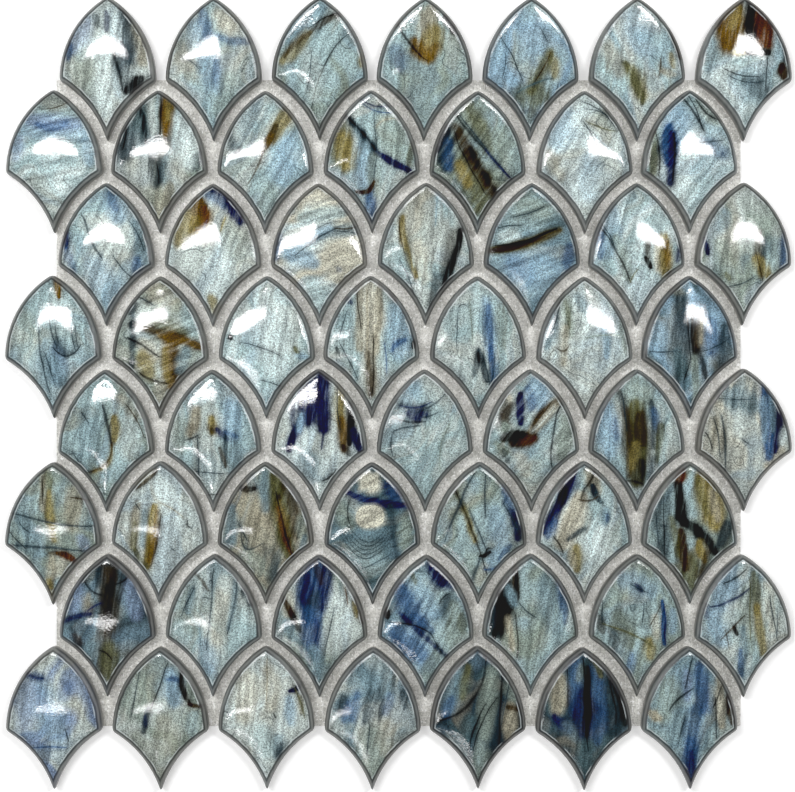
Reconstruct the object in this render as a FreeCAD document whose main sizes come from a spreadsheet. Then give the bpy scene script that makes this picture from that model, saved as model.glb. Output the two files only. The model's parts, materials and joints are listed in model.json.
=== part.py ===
"""A sheet of fish scale glass mosaic.

Rows of thick pointed glass scales lie on a thin backing net, each row half a
column to the side of the row above it. The crown of a scale is two round arcs
that meet in a tip. Its flanks are hollow arcs about the same centres as the
crowns of the two scales below, so the open joint has one width all round.

Millimetres, +Z up. The sheet lies flat on its net with the tips towards +Y,
and the origin is under the middle of the sheet.
"""
import FreeCAD
import Part
import Sketcher
import math
import os

from FreeCAD import Vector

SIZES = (
    ("tile_width", 36.5),
    ("joint_width", 3.5),
    ("row_pitch", 35.0),
    ("crown_height", 31.8),
    ("glass_thickness", 8.0),
    ("edge_bevel", 1.4),
    ("row_count", 8),
    ("column_count", 7),
    ("net_thickness", 0.5),
    ("net_margin", 1.5),
    ("net_rise", 0.9),
)

doc = FreeCAD.newDocument("fish_scale_mosaic")
sizes = doc.addObject("Spreadsheet::Sheet", "sizes")
for line, (alias, value) in enumerate(SIZES, start=1):
    sizes.set(f"A{line}", alias)
    sizes.set(f"B{line}", str(value))
    sizes.setAlias(f"B{line}", alias)
doc.recompute()

# Sizes that follow from the driving ones, as expressions.
HALF_WIDTH = "(sizes.tile_width / 2)"
COLUMN_PITCH = "(sizes.tile_width + sizes.joint_width)"
# The crown arc starts upright at the side corner and ends at the tip.
CROWN_RADIUS = f"((sizes.crown_height^2 + {HALF_WIDTH}^2) / sizes.tile_width)"
CROWN_CENTRE = f"({CROWN_RADIUS} - {HALF_WIDTH})"
# The flank arc is one joint away from the crown of the scale below.
FLANK_RADIUS = f"({CROWN_RADIUS} + sizes.joint_width)"
FLANK_CENTRE = f"({COLUMN_PITCH} / 2 + {CROWN_CENTRE})"
TAIL_DEPTH = f"(sizes.row_pitch - sqrt({FLANK_RADIUS}^2 - {FLANK_CENTRE}^2))"
# The middle of the sheet lies between the first tips and the last tails.
MIDDLE_SHIFT = f"(({TAIL_DEPTH} - sizes.crown_height) / 2)"
ROW_SPAN = "((sizes.row_count - 1) * sizes.row_pitch)"
COLUMN_SPAN = f"((sizes.column_count - 1) * {COLUMN_PITCH})"


def size(expression):
    """The number that an expression of the sheet has now."""
    return float(sizes.evalExpression(expression))


def origin_part(body, role):
    """A plane or axis of the body's own origin."""
    return next(part for part in body.Origin.OriginFeatures if part.Role == role)


def flat_sketch(body, name):
    """An empty sketch on the body's base plane."""
    sketch = body.newObject("Sketcher::SketchObject", name)
    sketch.AttachmentSupport = (origin_part(body, "XY_Plane"), [""])
    sketch.MapMode = "FlatFace"
    return sketch


def dimension(sketch, name, expression, *reference):
    """A driving dimension of the sketch, bound to the sheet."""
    index = sketch.addConstraint(Sketcher.Constraint(*reference, size(expression)))
    sketch.renameConstraint(index, name)
    sketch.setExpression(f"Constraints.{name}", expression)


def arc(centre, radius, start, end):
    """The arc about a centre that runs anticlockwise from one point to another."""
    first = math.atan2(start.y - centre.y, start.x - centre.x)
    last = math.atan2(end.y - centre.y, end.x - centre.x)
    if last < first:
        last += 2 * math.pi
    return Part.ArcOfCircle(Part.Circle(centre, Vector(0, 0, 1), radius), first, last)


def side_corner():
    """The right corner of a scale, where its crown circle meets its flank circle."""
    crown_centre = Vector(-size(CROWN_CENTRE), 0, 0)
    flank_centre = Vector(size(FLANK_CENTRE), -size("sizes.row_pitch"), 0)
    crown = Part.Circle(crown_centre, Vector(0, 0, 1), size(CROWN_RADIUS))
    flank = Part.Circle(flank_centre, Vector(0, 0, 1), size(FLANK_RADIUS))
    meetings = [Vector(point.X, point.Y, 0) for point in crown.intersect(flank)]
    return max(meetings, key=lambda point: point.y)


def mirrored(point):
    """The same point on the other side of the scale."""
    return Vector(-point.x, point.y, 0)


def scale_outline(body):
    """The sketch of one scale: two crown arcs and two hollow flank arcs."""
    sketch = flat_sketch(body, f"{body.Name}_outline")
    corner = side_corner()
    tip = Vector(0, size("sizes.crown_height"), 0)
    tail = Vector(0, -size(TAIL_DEPTH), 0)
    crown_centre = Vector(-size(CROWN_CENTRE), 0, 0)
    flank_centre = Vector(size(FLANK_CENTRE), -size("sizes.row_pitch"), 0)
    crown_radius = size(CROWN_RADIUS)
    flank_radius = size(FLANK_RADIUS)
    right_crown = sketch.addGeometry(arc(crown_centre, crown_radius, corner, tip))
    left_crown = sketch.addGeometry(arc(mirrored(crown_centre), crown_radius, tip, mirrored(corner)))
    left_flank = sketch.addGeometry(arc(mirrored(flank_centre), flank_radius, tail, mirrored(corner)))
    right_flank = sketch.addGeometry(arc(flank_centre, flank_radius, corner, tail))
    first, last, centre = 1, 2, 3
    cross, upright = -1, -2
    origin = (cross, 1)
    sketch.addConstraint([
        Sketcher.Constraint("Coincident", right_crown, last, left_crown, first),
        Sketcher.Constraint("Coincident", left_crown, last, left_flank, last),
        Sketcher.Constraint("Coincident", left_flank, first, right_flank, last),
        Sketcher.Constraint("Coincident", right_flank, first, right_crown, first),
        Sketcher.Constraint("PointOnObject", right_crown, centre, cross),
        Sketcher.Constraint("Symmetric", right_crown, centre, left_crown, centre, upright),
        Sketcher.Constraint("Symmetric", right_flank, centre, left_flank, centre, upright),
        Sketcher.Constraint("Equal", right_crown, left_crown),
        Sketcher.Constraint("Equal", right_flank, left_flank),
    ])
    dimension(sketch, "crown_radius", CROWN_RADIUS, "Radius", right_crown)
    dimension(sketch, "crown_centre", CROWN_CENTRE, "DistanceX", right_crown, centre, *origin)
    dimension(sketch, "flank_radius", FLANK_RADIUS, "Radius", right_flank)
    dimension(sketch, "flank_centre", FLANK_CENTRE, "DistanceX", *origin, right_flank, centre)
    dimension(sketch, "flank_drop", "sizes.row_pitch", "DistanceY", right_flank, centre, *origin)
    return sketch


def top_face(feature):
    """The name of the feature's highest level face."""
    faces = feature.Shape.Faces
    highest = max(range(len(faces)), key=lambda number: faces[number].BoundBox.ZMin)
    return f"Face{highest + 1}"


def scale_row(number):
    """One row of glass scales, counted from the top of the sheet."""
    body = doc.addObject("PartDesign::Body", f"scale_row_{number}")
    chip = body.newObject("PartDesign::Pad", f"chip_{number}")
    chip.Profile = scale_outline(body)
    chip.setExpression("Length", "sizes.glass_thickness")
    doc.recompute()
    bevel = body.newObject("PartDesign::Chamfer", f"bevel_{number}")
    bevel.Base = (chip, [top_face(chip)])
    bevel.setExpression("Size", "sizes.edge_bevel")
    doc.recompute()
    row = body.newObject("PartDesign::LinearPattern", f"columns_{number}")
    row.TransformMode = "Whole shape"
    row.Direction = (origin_part(body, "X_Axis"), [""])
    row.Mode = "Spacing"
    row.setExpression("Offset", COLUMN_PITCH)
    row.setExpression("Occurrences", "sizes.column_count")
    body.Tip = row
    # Odd rows stand a quarter column right of the middle, even rows as far left.
    side = 1 if number % 2 else -1
    body.setExpression(".Placement.Base.x", f"{side} * {COLUMN_PITCH} / 4 - {COLUMN_SPAN} / 2")
    body.setExpression(
        ".Placement.Base.y",
        f"{ROW_SPAN} / 2 - {number - 1} * sizes.row_pitch + {MIDDLE_SHIFT}",
    )
    body.setExpression(".Placement.Base.z", "sizes.net_thickness")
    return body


def mesh_backing():
    """The thin net, cut straight just past the side corners of the inner columns."""
    body = doc.addObject("PartDesign::Body", "mesh_backing")
    sketch = flat_sketch(body, "net_outline")
    half_width = f"(({COLUMN_SPAN} - {COLUMN_PITCH} / 2 + sizes.tile_width) / 2 + sizes.net_margin)"
    half_height = f"({ROW_SPAN} / 2)"
    across = size(half_width)
    along = size(half_height)
    corners = [
        Vector(-across, -along, 0),
        Vector(across, -along, 0),
        Vector(across, along, 0),
        Vector(-across, along, 0),
    ]
    for start, end in zip(corners, corners[1:] + corners[:1]):
        sketch.addGeometry(Part.LineSegment(start, end))
    bottom, right, top, left = range(4)
    first, last = 1, 2
    cross = -1
    sketch.addConstraint([
        Sketcher.Constraint("Coincident", bottom, last, right, first),
        Sketcher.Constraint("Coincident", right, last, top, first),
        Sketcher.Constraint("Coincident", top, last, left, first),
        Sketcher.Constraint("Coincident", left, last, bottom, first),
        Sketcher.Constraint("Horizontal", bottom),
        Sketcher.Constraint("Horizontal", top),
        Sketcher.Constraint("Vertical", right),
        Sketcher.Constraint("Vertical", left),
        Sketcher.Constraint("Symmetric", bottom, first, top, first, cross, 1),
    ])
    dimension(sketch, "net_width", f"2 * {half_width}", "DistanceX", bottom, first, bottom, last)
    dimension(sketch, "net_height", f"2 * {half_height}", "DistanceY", right, first, right, last)
    sheet = body.newObject("PartDesign::Pad", "net_sheet")
    sheet.Profile = sketch
    sheet.setExpression("Length", "sizes.net_thickness")
    body.setExpression(".Placement.Base.y", f"{MIDDLE_SHIFT} + sizes.net_rise")
    return body


pieces = [scale_row(number) for number in range(1, int(size("sizes.row_count")) + 1)]
pieces.append(mesh_backing())
doc.recompute()

for item in doc.Objects:
    if "Invalid" in item.State or "Error" in item.State:
        raise RuntimeError(f"{item.Label} did not build: {item.State}")
for piece in pieces:
    if piece.Shape.isNull() or not piece.Shape.isValid():
        raise RuntimeError(f"{piece.Label} has no valid solid")

os.makedirs("parts", exist_ok=True)
for piece in pieces:
    piece.Shape.exportStep(f"parts/{piece.Label}.step")
    box = piece.Shape.BoundBox
    print(piece.Label, len(piece.Shape.Solids), "solids,", round(piece.Shape.Volume, 1), "mm3,",
          [round(v, 2) for v in (box.XMin, box.YMin, box.ZMin, box.XMax, box.YMax, box.ZMax)])
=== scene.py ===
# %% [markdown]
# # A sheet of fish scale glass mosaic
# The real object is a sheet of 56 pressed glass scales, glued face up to a square of open net.
# Every scale is a thick, slightly domed pillow of hand-poured glass, and no two have the same swirls.
# This lesson models one scale, lays 56 copies on the measured frame, and then pours a colour into each.

# %% Load the measured frame
import json
import math
import random

import bmesh
import bpy
from mathutils import Matrix, Vector

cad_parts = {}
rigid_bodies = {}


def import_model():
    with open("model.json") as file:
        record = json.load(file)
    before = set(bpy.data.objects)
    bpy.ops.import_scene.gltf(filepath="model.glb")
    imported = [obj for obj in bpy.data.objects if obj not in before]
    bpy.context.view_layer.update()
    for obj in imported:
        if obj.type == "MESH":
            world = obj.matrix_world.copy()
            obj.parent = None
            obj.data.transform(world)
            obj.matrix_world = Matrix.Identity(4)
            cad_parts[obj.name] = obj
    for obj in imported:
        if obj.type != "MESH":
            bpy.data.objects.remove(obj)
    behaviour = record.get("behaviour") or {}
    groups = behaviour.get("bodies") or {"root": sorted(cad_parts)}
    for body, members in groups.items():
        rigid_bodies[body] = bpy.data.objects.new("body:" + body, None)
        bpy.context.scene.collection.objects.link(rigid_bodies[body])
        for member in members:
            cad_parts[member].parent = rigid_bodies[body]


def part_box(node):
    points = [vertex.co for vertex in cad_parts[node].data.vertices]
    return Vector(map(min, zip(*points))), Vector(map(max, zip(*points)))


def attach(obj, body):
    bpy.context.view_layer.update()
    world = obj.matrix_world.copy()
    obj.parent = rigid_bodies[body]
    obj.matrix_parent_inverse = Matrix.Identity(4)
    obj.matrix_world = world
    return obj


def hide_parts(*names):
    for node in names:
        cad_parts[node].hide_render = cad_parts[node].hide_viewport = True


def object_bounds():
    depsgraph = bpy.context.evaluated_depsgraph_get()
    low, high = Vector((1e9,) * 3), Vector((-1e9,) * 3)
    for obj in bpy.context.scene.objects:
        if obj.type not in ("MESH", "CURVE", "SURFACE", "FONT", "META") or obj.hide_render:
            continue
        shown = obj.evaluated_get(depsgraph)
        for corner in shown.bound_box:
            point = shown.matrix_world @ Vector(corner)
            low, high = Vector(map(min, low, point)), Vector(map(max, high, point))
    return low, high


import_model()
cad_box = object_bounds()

print("measured sheet", [round(v, 4) for v in cad_box[1] - cad_box[0]])

# %% [markdown]
# ## The lattice
# The frame holds one node for each row of seven scales, so the spacing can be read back from their boxes.
# It could be typed in again, but reading it keeps the glass exactly where the measured part has it.
# Only the counts and the height of the crown above the side corners are written as numbers.

# %% Read the lattice from the rows
ROWS = 8
COLUMNS = 7
CROWN_HEIGHT = 0.0318

low_1, high_1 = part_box("scale_row_1")
low_2, high_2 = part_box("scale_row_2")
COLUMN_PITCH = 2 * abs(low_1.x - low_2.x)
ROW_PITCH = high_1.y - high_2.y
SCALE_WIDTH = high_1.x - low_1.x - (COLUMNS - 1) * COLUMN_PITCH
JOINT = COLUMN_PITCH - SCALE_WIDTH
GLASS_FOOT = low_1.z
GLASS_TOP = high_1.z
print("pitch", round(COLUMN_PITCH, 4), round(ROW_PITCH, 4))
print("scale", round(SCALE_WIDTH, 4), "joint", round(JOINT, 4))

# %% [markdown]
# ## The outline of one scale
# Four arcs make a fish scale: two crown arcs meet in the tip, and two hollow flanks meet in the tail.
# Each flank is struck from the same centre as the crown of the scale below, one joint wider.
# That is why the joint has the same width everywhere, and why the outline can be offset exactly.

# %% Work out the four arcs
HALF_WIDTH = SCALE_WIDTH / 2
CROWN_RADIUS = (CROWN_HEIGHT ** 2 + HALF_WIDTH ** 2) / (2 * HALF_WIDTH)
CROWN_CENTRE = Vector((HALF_WIDTH - CROWN_RADIUS, 0, 0))
FLANK_RADIUS = CROWN_RADIUS + JOINT
FLANK_CENTRE = Vector((COLUMN_PITCH / 2 - CROWN_CENTRE.x, -ROW_PITCH, 0))


def outline_corners(inset):
    """Tip, right corner and tail of the outline, moved inwards by inset."""
    crown = CROWN_RADIUS - inset
    flank = FLANK_RADIUS + inset
    tip = Vector((0, math.sqrt(crown ** 2 - CROWN_CENTRE.x ** 2), 0))
    tail = Vector((0, FLANK_CENTRE.y + math.sqrt(flank ** 2 - FLANK_CENTRE.x ** 2), 0))
    span = FLANK_CENTRE - CROWN_CENTRE
    along = (crown ** 2 - flank ** 2 + span.length_squared) / (2 * span.length)
    across = math.sqrt(crown ** 2 - along ** 2)
    ahead = span.normalized()
    corner = CROWN_CENTRE + ahead * along + Vector((-ahead.y, ahead.x, 0)) * across
    return tip, corner, tail


def sweep(centre, start, end):
    """The angle from start to end, seen from centre, anticlockwise."""
    first = math.atan2(start.y - centre.y, start.x - centre.x)
    last = math.atan2(end.y - centre.y, end.x - centre.x)
    return last - first


print("tip, corner, tail in mm", [tuple(round(v * 1000, 2) for v in p.xy) for p in outline_corners(0)])

# %% [markdown]
# ## Rings of points
# A scale could be cut from a block, but the rounded rim is easier to control as a stack of rings.
# One ring is a single point that is spun along the crown and then along the flank, copied, and mirrored.
# Each ring is the same outline at its own inset and height, so the rim follows the arcs without pinching.

# %% Spin one ring
ARC_STEPS = 16
TOUCHING = 1e-6


def pick(test):
    """Selects the points of the edited mesh whose place passes a test."""
    bpy.ops.mesh.select_mode(type="VERT")
    bpy.ops.mesh.select_all(action="DESELECT")
    mesh = bmesh.from_edit_mesh(bpy.context.object.data)
    for vertex in mesh.verts:
        vertex.select_set(bool(test(vertex.co)))
    mesh.select_flush(True)
    bmesh.update_edit_mesh(bpy.context.object.data)


def spin_ring(inset, height):
    """Adds one closed ring of the outline to the edited mesh."""
    tip, corner, tail = outline_corners(inset)
    bpy.ops.mesh.select_all(action="DESELECT")
    bpy.ops.mesh.primitive_plane_add(size=0.001, location=(0, tip.y, height))
    bpy.ops.mesh.merge(type="CENTER")
    for centre, start, end in ((CROWN_CENTRE, tip, corner), (FLANK_CENTRE, corner, tail)):
        bpy.ops.mesh.spin(steps=ARC_STEPS, angle=sweep(centre, start, end),
                          center=(centre.x, centre.y, height), axis=(0, 0, -1))
    bpy.ops.mesh.select_linked()
    bpy.ops.mesh.duplicate()
    bpy.ops.transform.resize(value=(-1, 1, 1), center_override=(0, 0, 0))
    bpy.ops.mesh.select_all(action="SELECT")
    bpy.ops.mesh.remove_doubles(threshold=TOUCHING)


print("each of the four arcs has", ARC_STEPS, "steps")

# %% [markdown]
# ## The wall and the rim
# Pressed glass has an upright wall, a softly rounded rim and a foot that turns in by a hair.
# Each pair below is one ring's inset and its height above the foot, and each ring is bridged to the next.
# A bevel could round the rim too, but with rings its curve is the same at the sharp tip as along the sides.

# %% Stack the rings of the wall and the rim
RIM_RINGS = [
    (0.00025, 0.0), (0.0, 0.0004), (0.0, 0.0046),
    (0.0005, 0.0058), (0.0018, 0.0064), (0.0036, 0.0068),
]

bpy.ops.object.select_all(action="DESELECT")
bpy.ops.mesh.primitive_plane_add(size=0.001)
pattern = bpy.context.object
pattern.name = "scale_pattern"
bpy.ops.object.mode_set(mode="EDIT")
bpy.ops.mesh.delete(type="VERT")
ring_heights = [GLASS_FOOT + rise for inset, rise in RIM_RINGS]
for (inset, rise), height in zip(RIM_RINGS, ring_heights):
    spin_ring(inset, height)
for lower, upper in zip(ring_heights, ring_heights[1:]):
    pick(lambda p: min(abs(p.z - lower), abs(p.z - upper)) < TOUCHING)
    bpy.ops.mesh.bridge_edge_loops()
pattern.update_from_editmode()
print("rings bridged into", len(pattern.data.polygons), "faces")

# %% [markdown]
# ## The domed face
# Poured glass draws itself up into a low pillow while it is soft, highest in the middle.
# The innermost ring is filled with a square grid, whose corners are its tip, its side corners and its tail.
# Shrinking the selection step by step and lifting it each time raises the dome.
# Smoothing then takes the steps out.

# %% Fill and raise the face
DOME_RISE = 0.00142
DOME_POWER = 2.5

face_height = ring_heights[-1]
pick(lambda p: abs(p.z - face_height) < TOUCHING)
edited = bmesh.from_edit_mesh(pattern.data)
ring_points = [v for v in edited.verts if v.select]
edited.select_history.add(max(ring_points, key=lambda v: v.co.y))
bmesh.update_edit_mesh(pattern.data)
bpy.ops.mesh.fill_grid(span=ARC_STEPS, offset=0)
steps = ARC_STEPS // 2
for step in range(1, steps + 1):
    bpy.ops.mesh.select_less()
    before = 1 - (step - 1) / steps
    after = 1 - step / steps
    lift = DOME_RISE * (before ** DOME_POWER - after ** DOME_POWER)
    bpy.ops.transform.translate(value=(0, 0, lift))
pick(lambda p: p.z > face_height + TOUCHING)
bpy.ops.mesh.vertices_smooth(factor=0.5, repeat=10)
pattern.update_from_editmode()
print("dome top", round(max(v.co.z for v in pattern.data.vertices) * 1000, 3), "mm")

# %% [markdown]
# ## One finished scale
# Poured glass has no sharp edge left, so one level of subdivision rounds the bands between the rings.
# The foot is filled only after that, which keeps it one flat face for the glue.
# The points of the face go into a vertex group, because the next step ripples them and leaves the wall alone.

# %% Round the whole scale and close its foot
FOOT_MARGIN = 1e-5
FACE_RISE = 0.0066

bpy.ops.object.mode_set(mode="OBJECT")
rounding = pattern.modifiers.new("rounding", "SUBSURF")
rounding.levels = 1
rounding.render_levels = 1
bpy.ops.object.modifier_apply(modifier=rounding.name)
bpy.ops.object.mode_set(mode="EDIT")
pick(lambda p: p.z < GLASS_FOOT + FOOT_MARGIN)
bpy.ops.mesh.edge_face_add()
bpy.ops.mesh.select_all(action="SELECT")
bpy.ops.mesh.normals_make_consistent(inside=False)
pick(lambda p: p.z > GLASS_FOOT + FACE_RISE)
bpy.ops.object.vertex_group_add()
bpy.ops.object.vertex_group_assign()
pattern.vertex_groups.active.name = "face"
bpy.ops.object.mode_set(mode="OBJECT")
bpy.ops.object.shade_smooth_by_angle(angle=math.radians(50))
print("one scale has", len(pattern.data.polygons), "faces, top", round(pattern.dimensions.z * 1000, 3))

# %% [markdown]
# ## Laying the sheet
# The scales are set by hand before the net is glued on, so each sits a hair off its place and angle.
# A seeded random generator gives the same small wobble on every run.
# Each copy is also rippled by a soft cloud texture, since no two pours set with the same surface.

# %% Lay 56 copies
SHIFT = 0.0003
TURN = math.radians(0.7)
RIPPLE_LENGTH = 0.014
RIPPLE_DEPTH = 0.00012

ripple = bpy.data.textures.new("poured_ripple", "CLOUDS")
ripple.noise_scale = RIPPLE_LENGTH
ripple.noise_depth = 1


def ripple_along(piece, axis, depth, points=""):
    """Moves the points of the active piece along one axis by the cloud texture."""
    rippling = piece.modifiers.new("rippling", "DISPLACE")
    rippling.texture = ripple
    rippling.texture_coords = "GLOBAL"
    rippling.direction = axis
    rippling.strength = depth
    rippling.vertex_group = points
    bpy.ops.object.modifier_apply(modifier=rippling.name)


setting_hand = random.Random(20)
scales = {}
places = {}
for row in range(1, ROWS + 1):
    low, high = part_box(f"scale_row_{row}")
    for column in range(1, COLUMNS + 1):
        bpy.ops.object.select_all(action="DESELECT")
        pattern.select_set(True)
        bpy.context.view_layer.objects.active = pattern
        bpy.ops.object.duplicate(linked=False)
        scale = bpy.context.object
        scale.name = f"scale_r{row}_c{column}"
        scale.data.name = scale.name
        x = low.x + HALF_WIDTH + (column - 1) * COLUMN_PITCH + setting_hand.uniform(-SHIFT, SHIFT)
        y = high.y - CROWN_HEIGHT + setting_hand.uniform(-SHIFT, SHIFT)
        bpy.ops.transform.rotate(value=setting_hand.uniform(-TURN, TURN), orient_axis="Z",
                                 center_override=(0, 0, 0))
        places[scale.name] = (x, y, scale.rotation_euler.z)
        bpy.ops.transform.translate(value=(x, y, 0))
        ripple_along(scale, "Z", RIPPLE_DEPTH, "face")
        bpy.ops.object.transform_apply(location=True, rotation=True, scale=True)
        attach(scale, "root")
        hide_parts(f"scale_row_{row}")
        scales[scale.name] = scale
bpy.data.objects.remove(pattern)
print("laid", len(scales), "scales")

# %% [markdown]
# ## The net and its glue
# The scales are held by an open net of glass yarn set in a film of glue, which shows pale in the joints.
# The film is one thin sheet with a slight, slow ripple.
# A grid, gently displaced and then thickened, gives that without many faces.

# %% Cast the glue film
FILM_SAG = 0.0002
FILM_THICKNESS = 0.00022

net_low, net_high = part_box("mesh_backing")
net_size = net_high - net_low
net_middle = (net_high + net_low) / 2

bpy.ops.object.select_all(action="DESELECT")
bpy.ops.mesh.primitive_grid_add(x_subdivisions=64, y_subdivisions=60, size=1, location=net_middle)
film = bpy.context.object
film.name = "glue_film"
bpy.ops.transform.resize(value=(net_size.x, net_size.y, 1), center_override=net_middle)
bpy.ops.object.transform_apply(location=True, rotation=True, scale=True)
ripple_along(film, "Z", FILM_SAG)
thickness = film.modifiers.new("thickness", "SOLIDIFY")
thickness.thickness = FILM_THICKNESS
thickness.offset = 0
bpy.ops.object.modifier_apply(modifier=thickness.name)
bpy.ops.object.shade_smooth_by_angle(angle=math.radians(40))
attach(film, "root")
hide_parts("mesh_backing")
print("film", [round(v * 1000, 2) for v in film.dimensions])

# %% [markdown]
# ## The yarns
# The net itself is a square weave at about four millimetres.
# One yarn is a five-sided rod drawn out by extruding, the array modifier repeats it,
# and a slow cloud pattern lets the rows wander as woven yarn does.

# %% Weave the yarns
YARN_PITCH = 0.0041
YARN_RADIUS = 0.0002
YARN_STEPS = 16
YARN_WANDER = 0.0012
WARP_LEVEL = 0.00029
WEFT_LEVEL = 0.00021


def weave(name, ahead, across, level):
    """Makes all the yarns that run in one direction."""
    length = net_size @ ahead
    count = int((net_size @ across) / YARN_PITCH)
    margin = ((net_size @ across) - (count - 1) * YARN_PITCH) / 2
    start = net_middle - ahead * length / 2 - across * ((net_size @ across) / 2 - margin)
    start.z = level
    bpy.ops.object.select_all(action="DESELECT")
    facing = ahead.to_track_quat("Z", "Y").to_euler()
    bpy.ops.mesh.primitive_circle_add(vertices=5, radius=YARN_RADIUS, fill_type="NGON",
                                      location=start, rotation=facing)
    yarn = bpy.context.object
    yarn.name = name
    bpy.ops.object.transform_apply(location=True, rotation=True, scale=True)
    bpy.ops.object.mode_set(mode="EDIT")
    bpy.ops.mesh.select_all(action="SELECT")
    for step in range(YARN_STEPS):
        bpy.ops.mesh.extrude_region_move(TRANSFORM_OT_translate={"value": ahead * length / YARN_STEPS})
    bpy.ops.mesh.select_all(action="SELECT")
    bpy.ops.mesh.normals_make_consistent(inside=False)
    bpy.ops.object.mode_set(mode="OBJECT")
    rows = yarn.modifiers.new("rows", "ARRAY")
    rows.count = count
    rows.use_relative_offset = False
    rows.use_constant_offset = True
    rows.constant_offset_displace = across * YARN_PITCH
    bpy.ops.object.modifier_apply(modifier=rows.name)
    ripple_along(yarn, "X" if across.x else "Y", YARN_WANDER)
    bpy.ops.object.shade_smooth_by_angle(angle=math.radians(80))
    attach(yarn, "root")
    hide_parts("mesh_backing")
    print(name, count, "yarns,", len(yarn.data.polygons), "faces")
    return yarn


warp = weave("net_warp", Vector((0, 1, 0)), Vector((1, 0, 0)), net_low.z + WARP_LEVEL)
weft = weave("net_weft", Vector((1, 0, 0)), Vector((0, 1, 0)), net_low.z + WEFT_LEVEL)

# %% [markdown]
# ## Helpers for the finishes
# The finishes are built from nodes, which could be wired by hand in the shader editor.
# Small helpers place them here, so that each finish below reads as a recipe and not as wiring.
# Where a helper takes a value, it can be a plain number or the output of another node.

# %% Helpers for numbers and places
def feed(tree, socket, value):
    """Links another node's output to a socket, or sets its plain value."""
    if isinstance(value, bpy.types.NodeSocket):
        tree.links.new(value, socket)
    else:
        socket.default_value = value


def calc(tree, operation, *values, clamp=False):
    """One Math node."""
    node = tree.nodes.new("ShaderNodeMath")
    node.operation = operation
    node.use_clamp = clamp
    for socket, value in zip(node.inputs, values):
        feed(tree, socket, value)
    return node.outputs[0]


def vector(tree, operation, *values, scale=None):
    """One Vector Math node."""
    node = tree.nodes.new("ShaderNodeVectorMath")
    node.operation = operation
    for socket, value in zip(node.inputs, values):
        feed(tree, socket, value)
    if scale is not None:
        feed(tree, node.inputs["Scale"], scale)
    return node.outputs["Value" if operation in ("DOT_PRODUCT", "DISTANCE") else "Vector"]


print("helpers for numbers and places ready")


# %% Helpers for colours and textures
def blend(tree, amount, under, over, mode="MIX"):
    """One colour Mix node."""
    node = tree.nodes.new("ShaderNodeMix")
    node.data_type = "RGBA"
    node.blend_type = mode
    feed(tree, node.inputs[0], amount)
    feed(tree, node.inputs[6], under)
    feed(tree, node.inputs[7], over)
    return node.outputs[2]


def fade(tree, value, start, end, low=0.0, high=1.0):
    """One Map Range node with soft ends."""
    node = tree.nodes.new("ShaderNodeMapRange")
    node.interpolation_type = "SMOOTHSTEP"
    for socket, given in zip(node.inputs, (value, start, end, low, high)):
        feed(tree, socket, given)
    return node.outputs[0]


def grey(tree, value):
    """The same value in red, green and blue."""
    node = tree.nodes.new("ShaderNodeCombineColor")
    for socket in node.inputs:
        feed(tree, socket, value)
    return node.outputs[0]


SEED_STEP = (37, 91, 53)


def cloud(tree, place, size, detail=2.0, seed=0.0, rough=0.5, kind="2D"):
    """One Noise node, with its size in waves for each millimetre. The seed moves it to other noise."""
    node = tree.nodes.new("ShaderNodeTexNoise")
    node.noise_dimensions = kind
    moved = vector(tree, "ADD", place, vector(tree, "SCALE", SEED_STEP, scale=seed))
    feed(tree, node.inputs["Vector"], moved)
    feed(tree, node.inputs["Scale"], size)
    feed(tree, node.inputs["Detail"], detail)
    feed(tree, node.inputs["Roughness"], rough)
    return node


def new_group(name, inputs, outputs):
    """An empty shader node group with named sockets."""
    tree = bpy.data.node_groups.new(name, "ShaderNodeTree")
    for title, kind in inputs:
        tree.interface.new_socket(name=title, in_out="INPUT", socket_type="NodeSocket" + kind)
    for title, kind in outputs:
        tree.interface.new_socket(name=title, in_out="OUTPUT", socket_type="NodeSocket" + kind)
    return tree, tree.nodes.new("NodeGroupInput").outputs, tree.nodes.new("NodeGroupOutput").inputs


def new_finish(name):
    """A material, with its node tree and its shader."""
    finish = bpy.data.materials.new(name)
    finish.use_nodes = True
    return finish, finish.node_tree, finish.node_tree.nodes["Principled BSDF"]


print("helpers for colours and textures ready")

# %% [markdown]
# ## The colours of the glass
# A glassmaker keeps rods and powders in a few set colours and pours everything from those.
# The colours are written in the usual 0 to 255 values, which Blender's shaders need as linear light.
# One short table keeps the whole sheet in tune: a colour changed here changes wherever it is used.

# %% The glassmaker's colours
def light_value(level):
    """One 0 to 255 colour level as linear light."""
    share = level / 255
    return share / 12.92 if share <= 0.04045 else ((share + 0.055) / 1.055) ** 2.4


def mixed(red, green, blue):
    """A colour in 0 to 255 values, as linear light."""
    return (light_value(red), light_value(green), light_value(blue), 1.0)


GLASS = {
    "frost": mixed(202, 217, 216),
    "silver": mixed(184, 195, 191),
    "aqua": mixed(160, 183, 185),
    "sage": mixed(138, 152, 143),
    "cream": mixed(194, 193, 177),
    "taupe": mixed(152, 148, 130),
    "steel": mixed(114, 138, 147),
    "sky": mixed(140, 169, 187),
    "denim": mixed(58, 87, 124),
    "lilac": mixed(130, 149, 176),
    "navy": mixed(22, 30, 70),
    "ink": mixed(12, 14, 18),
    "slate": mixed(44, 57, 64),
    "teal": mixed(76, 97, 102),
    "amber": mixed(106, 83, 36),
    "honey": mixed(134, 123, 76),
    "olive": mixed(92, 93, 64),
    "umber": mixed(56, 44, 26),
    "bark": mixed(26, 22, 17),
    "rust": mixed(92, 57, 26),
}
print(len(GLASS), "colours on the bench")

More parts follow.
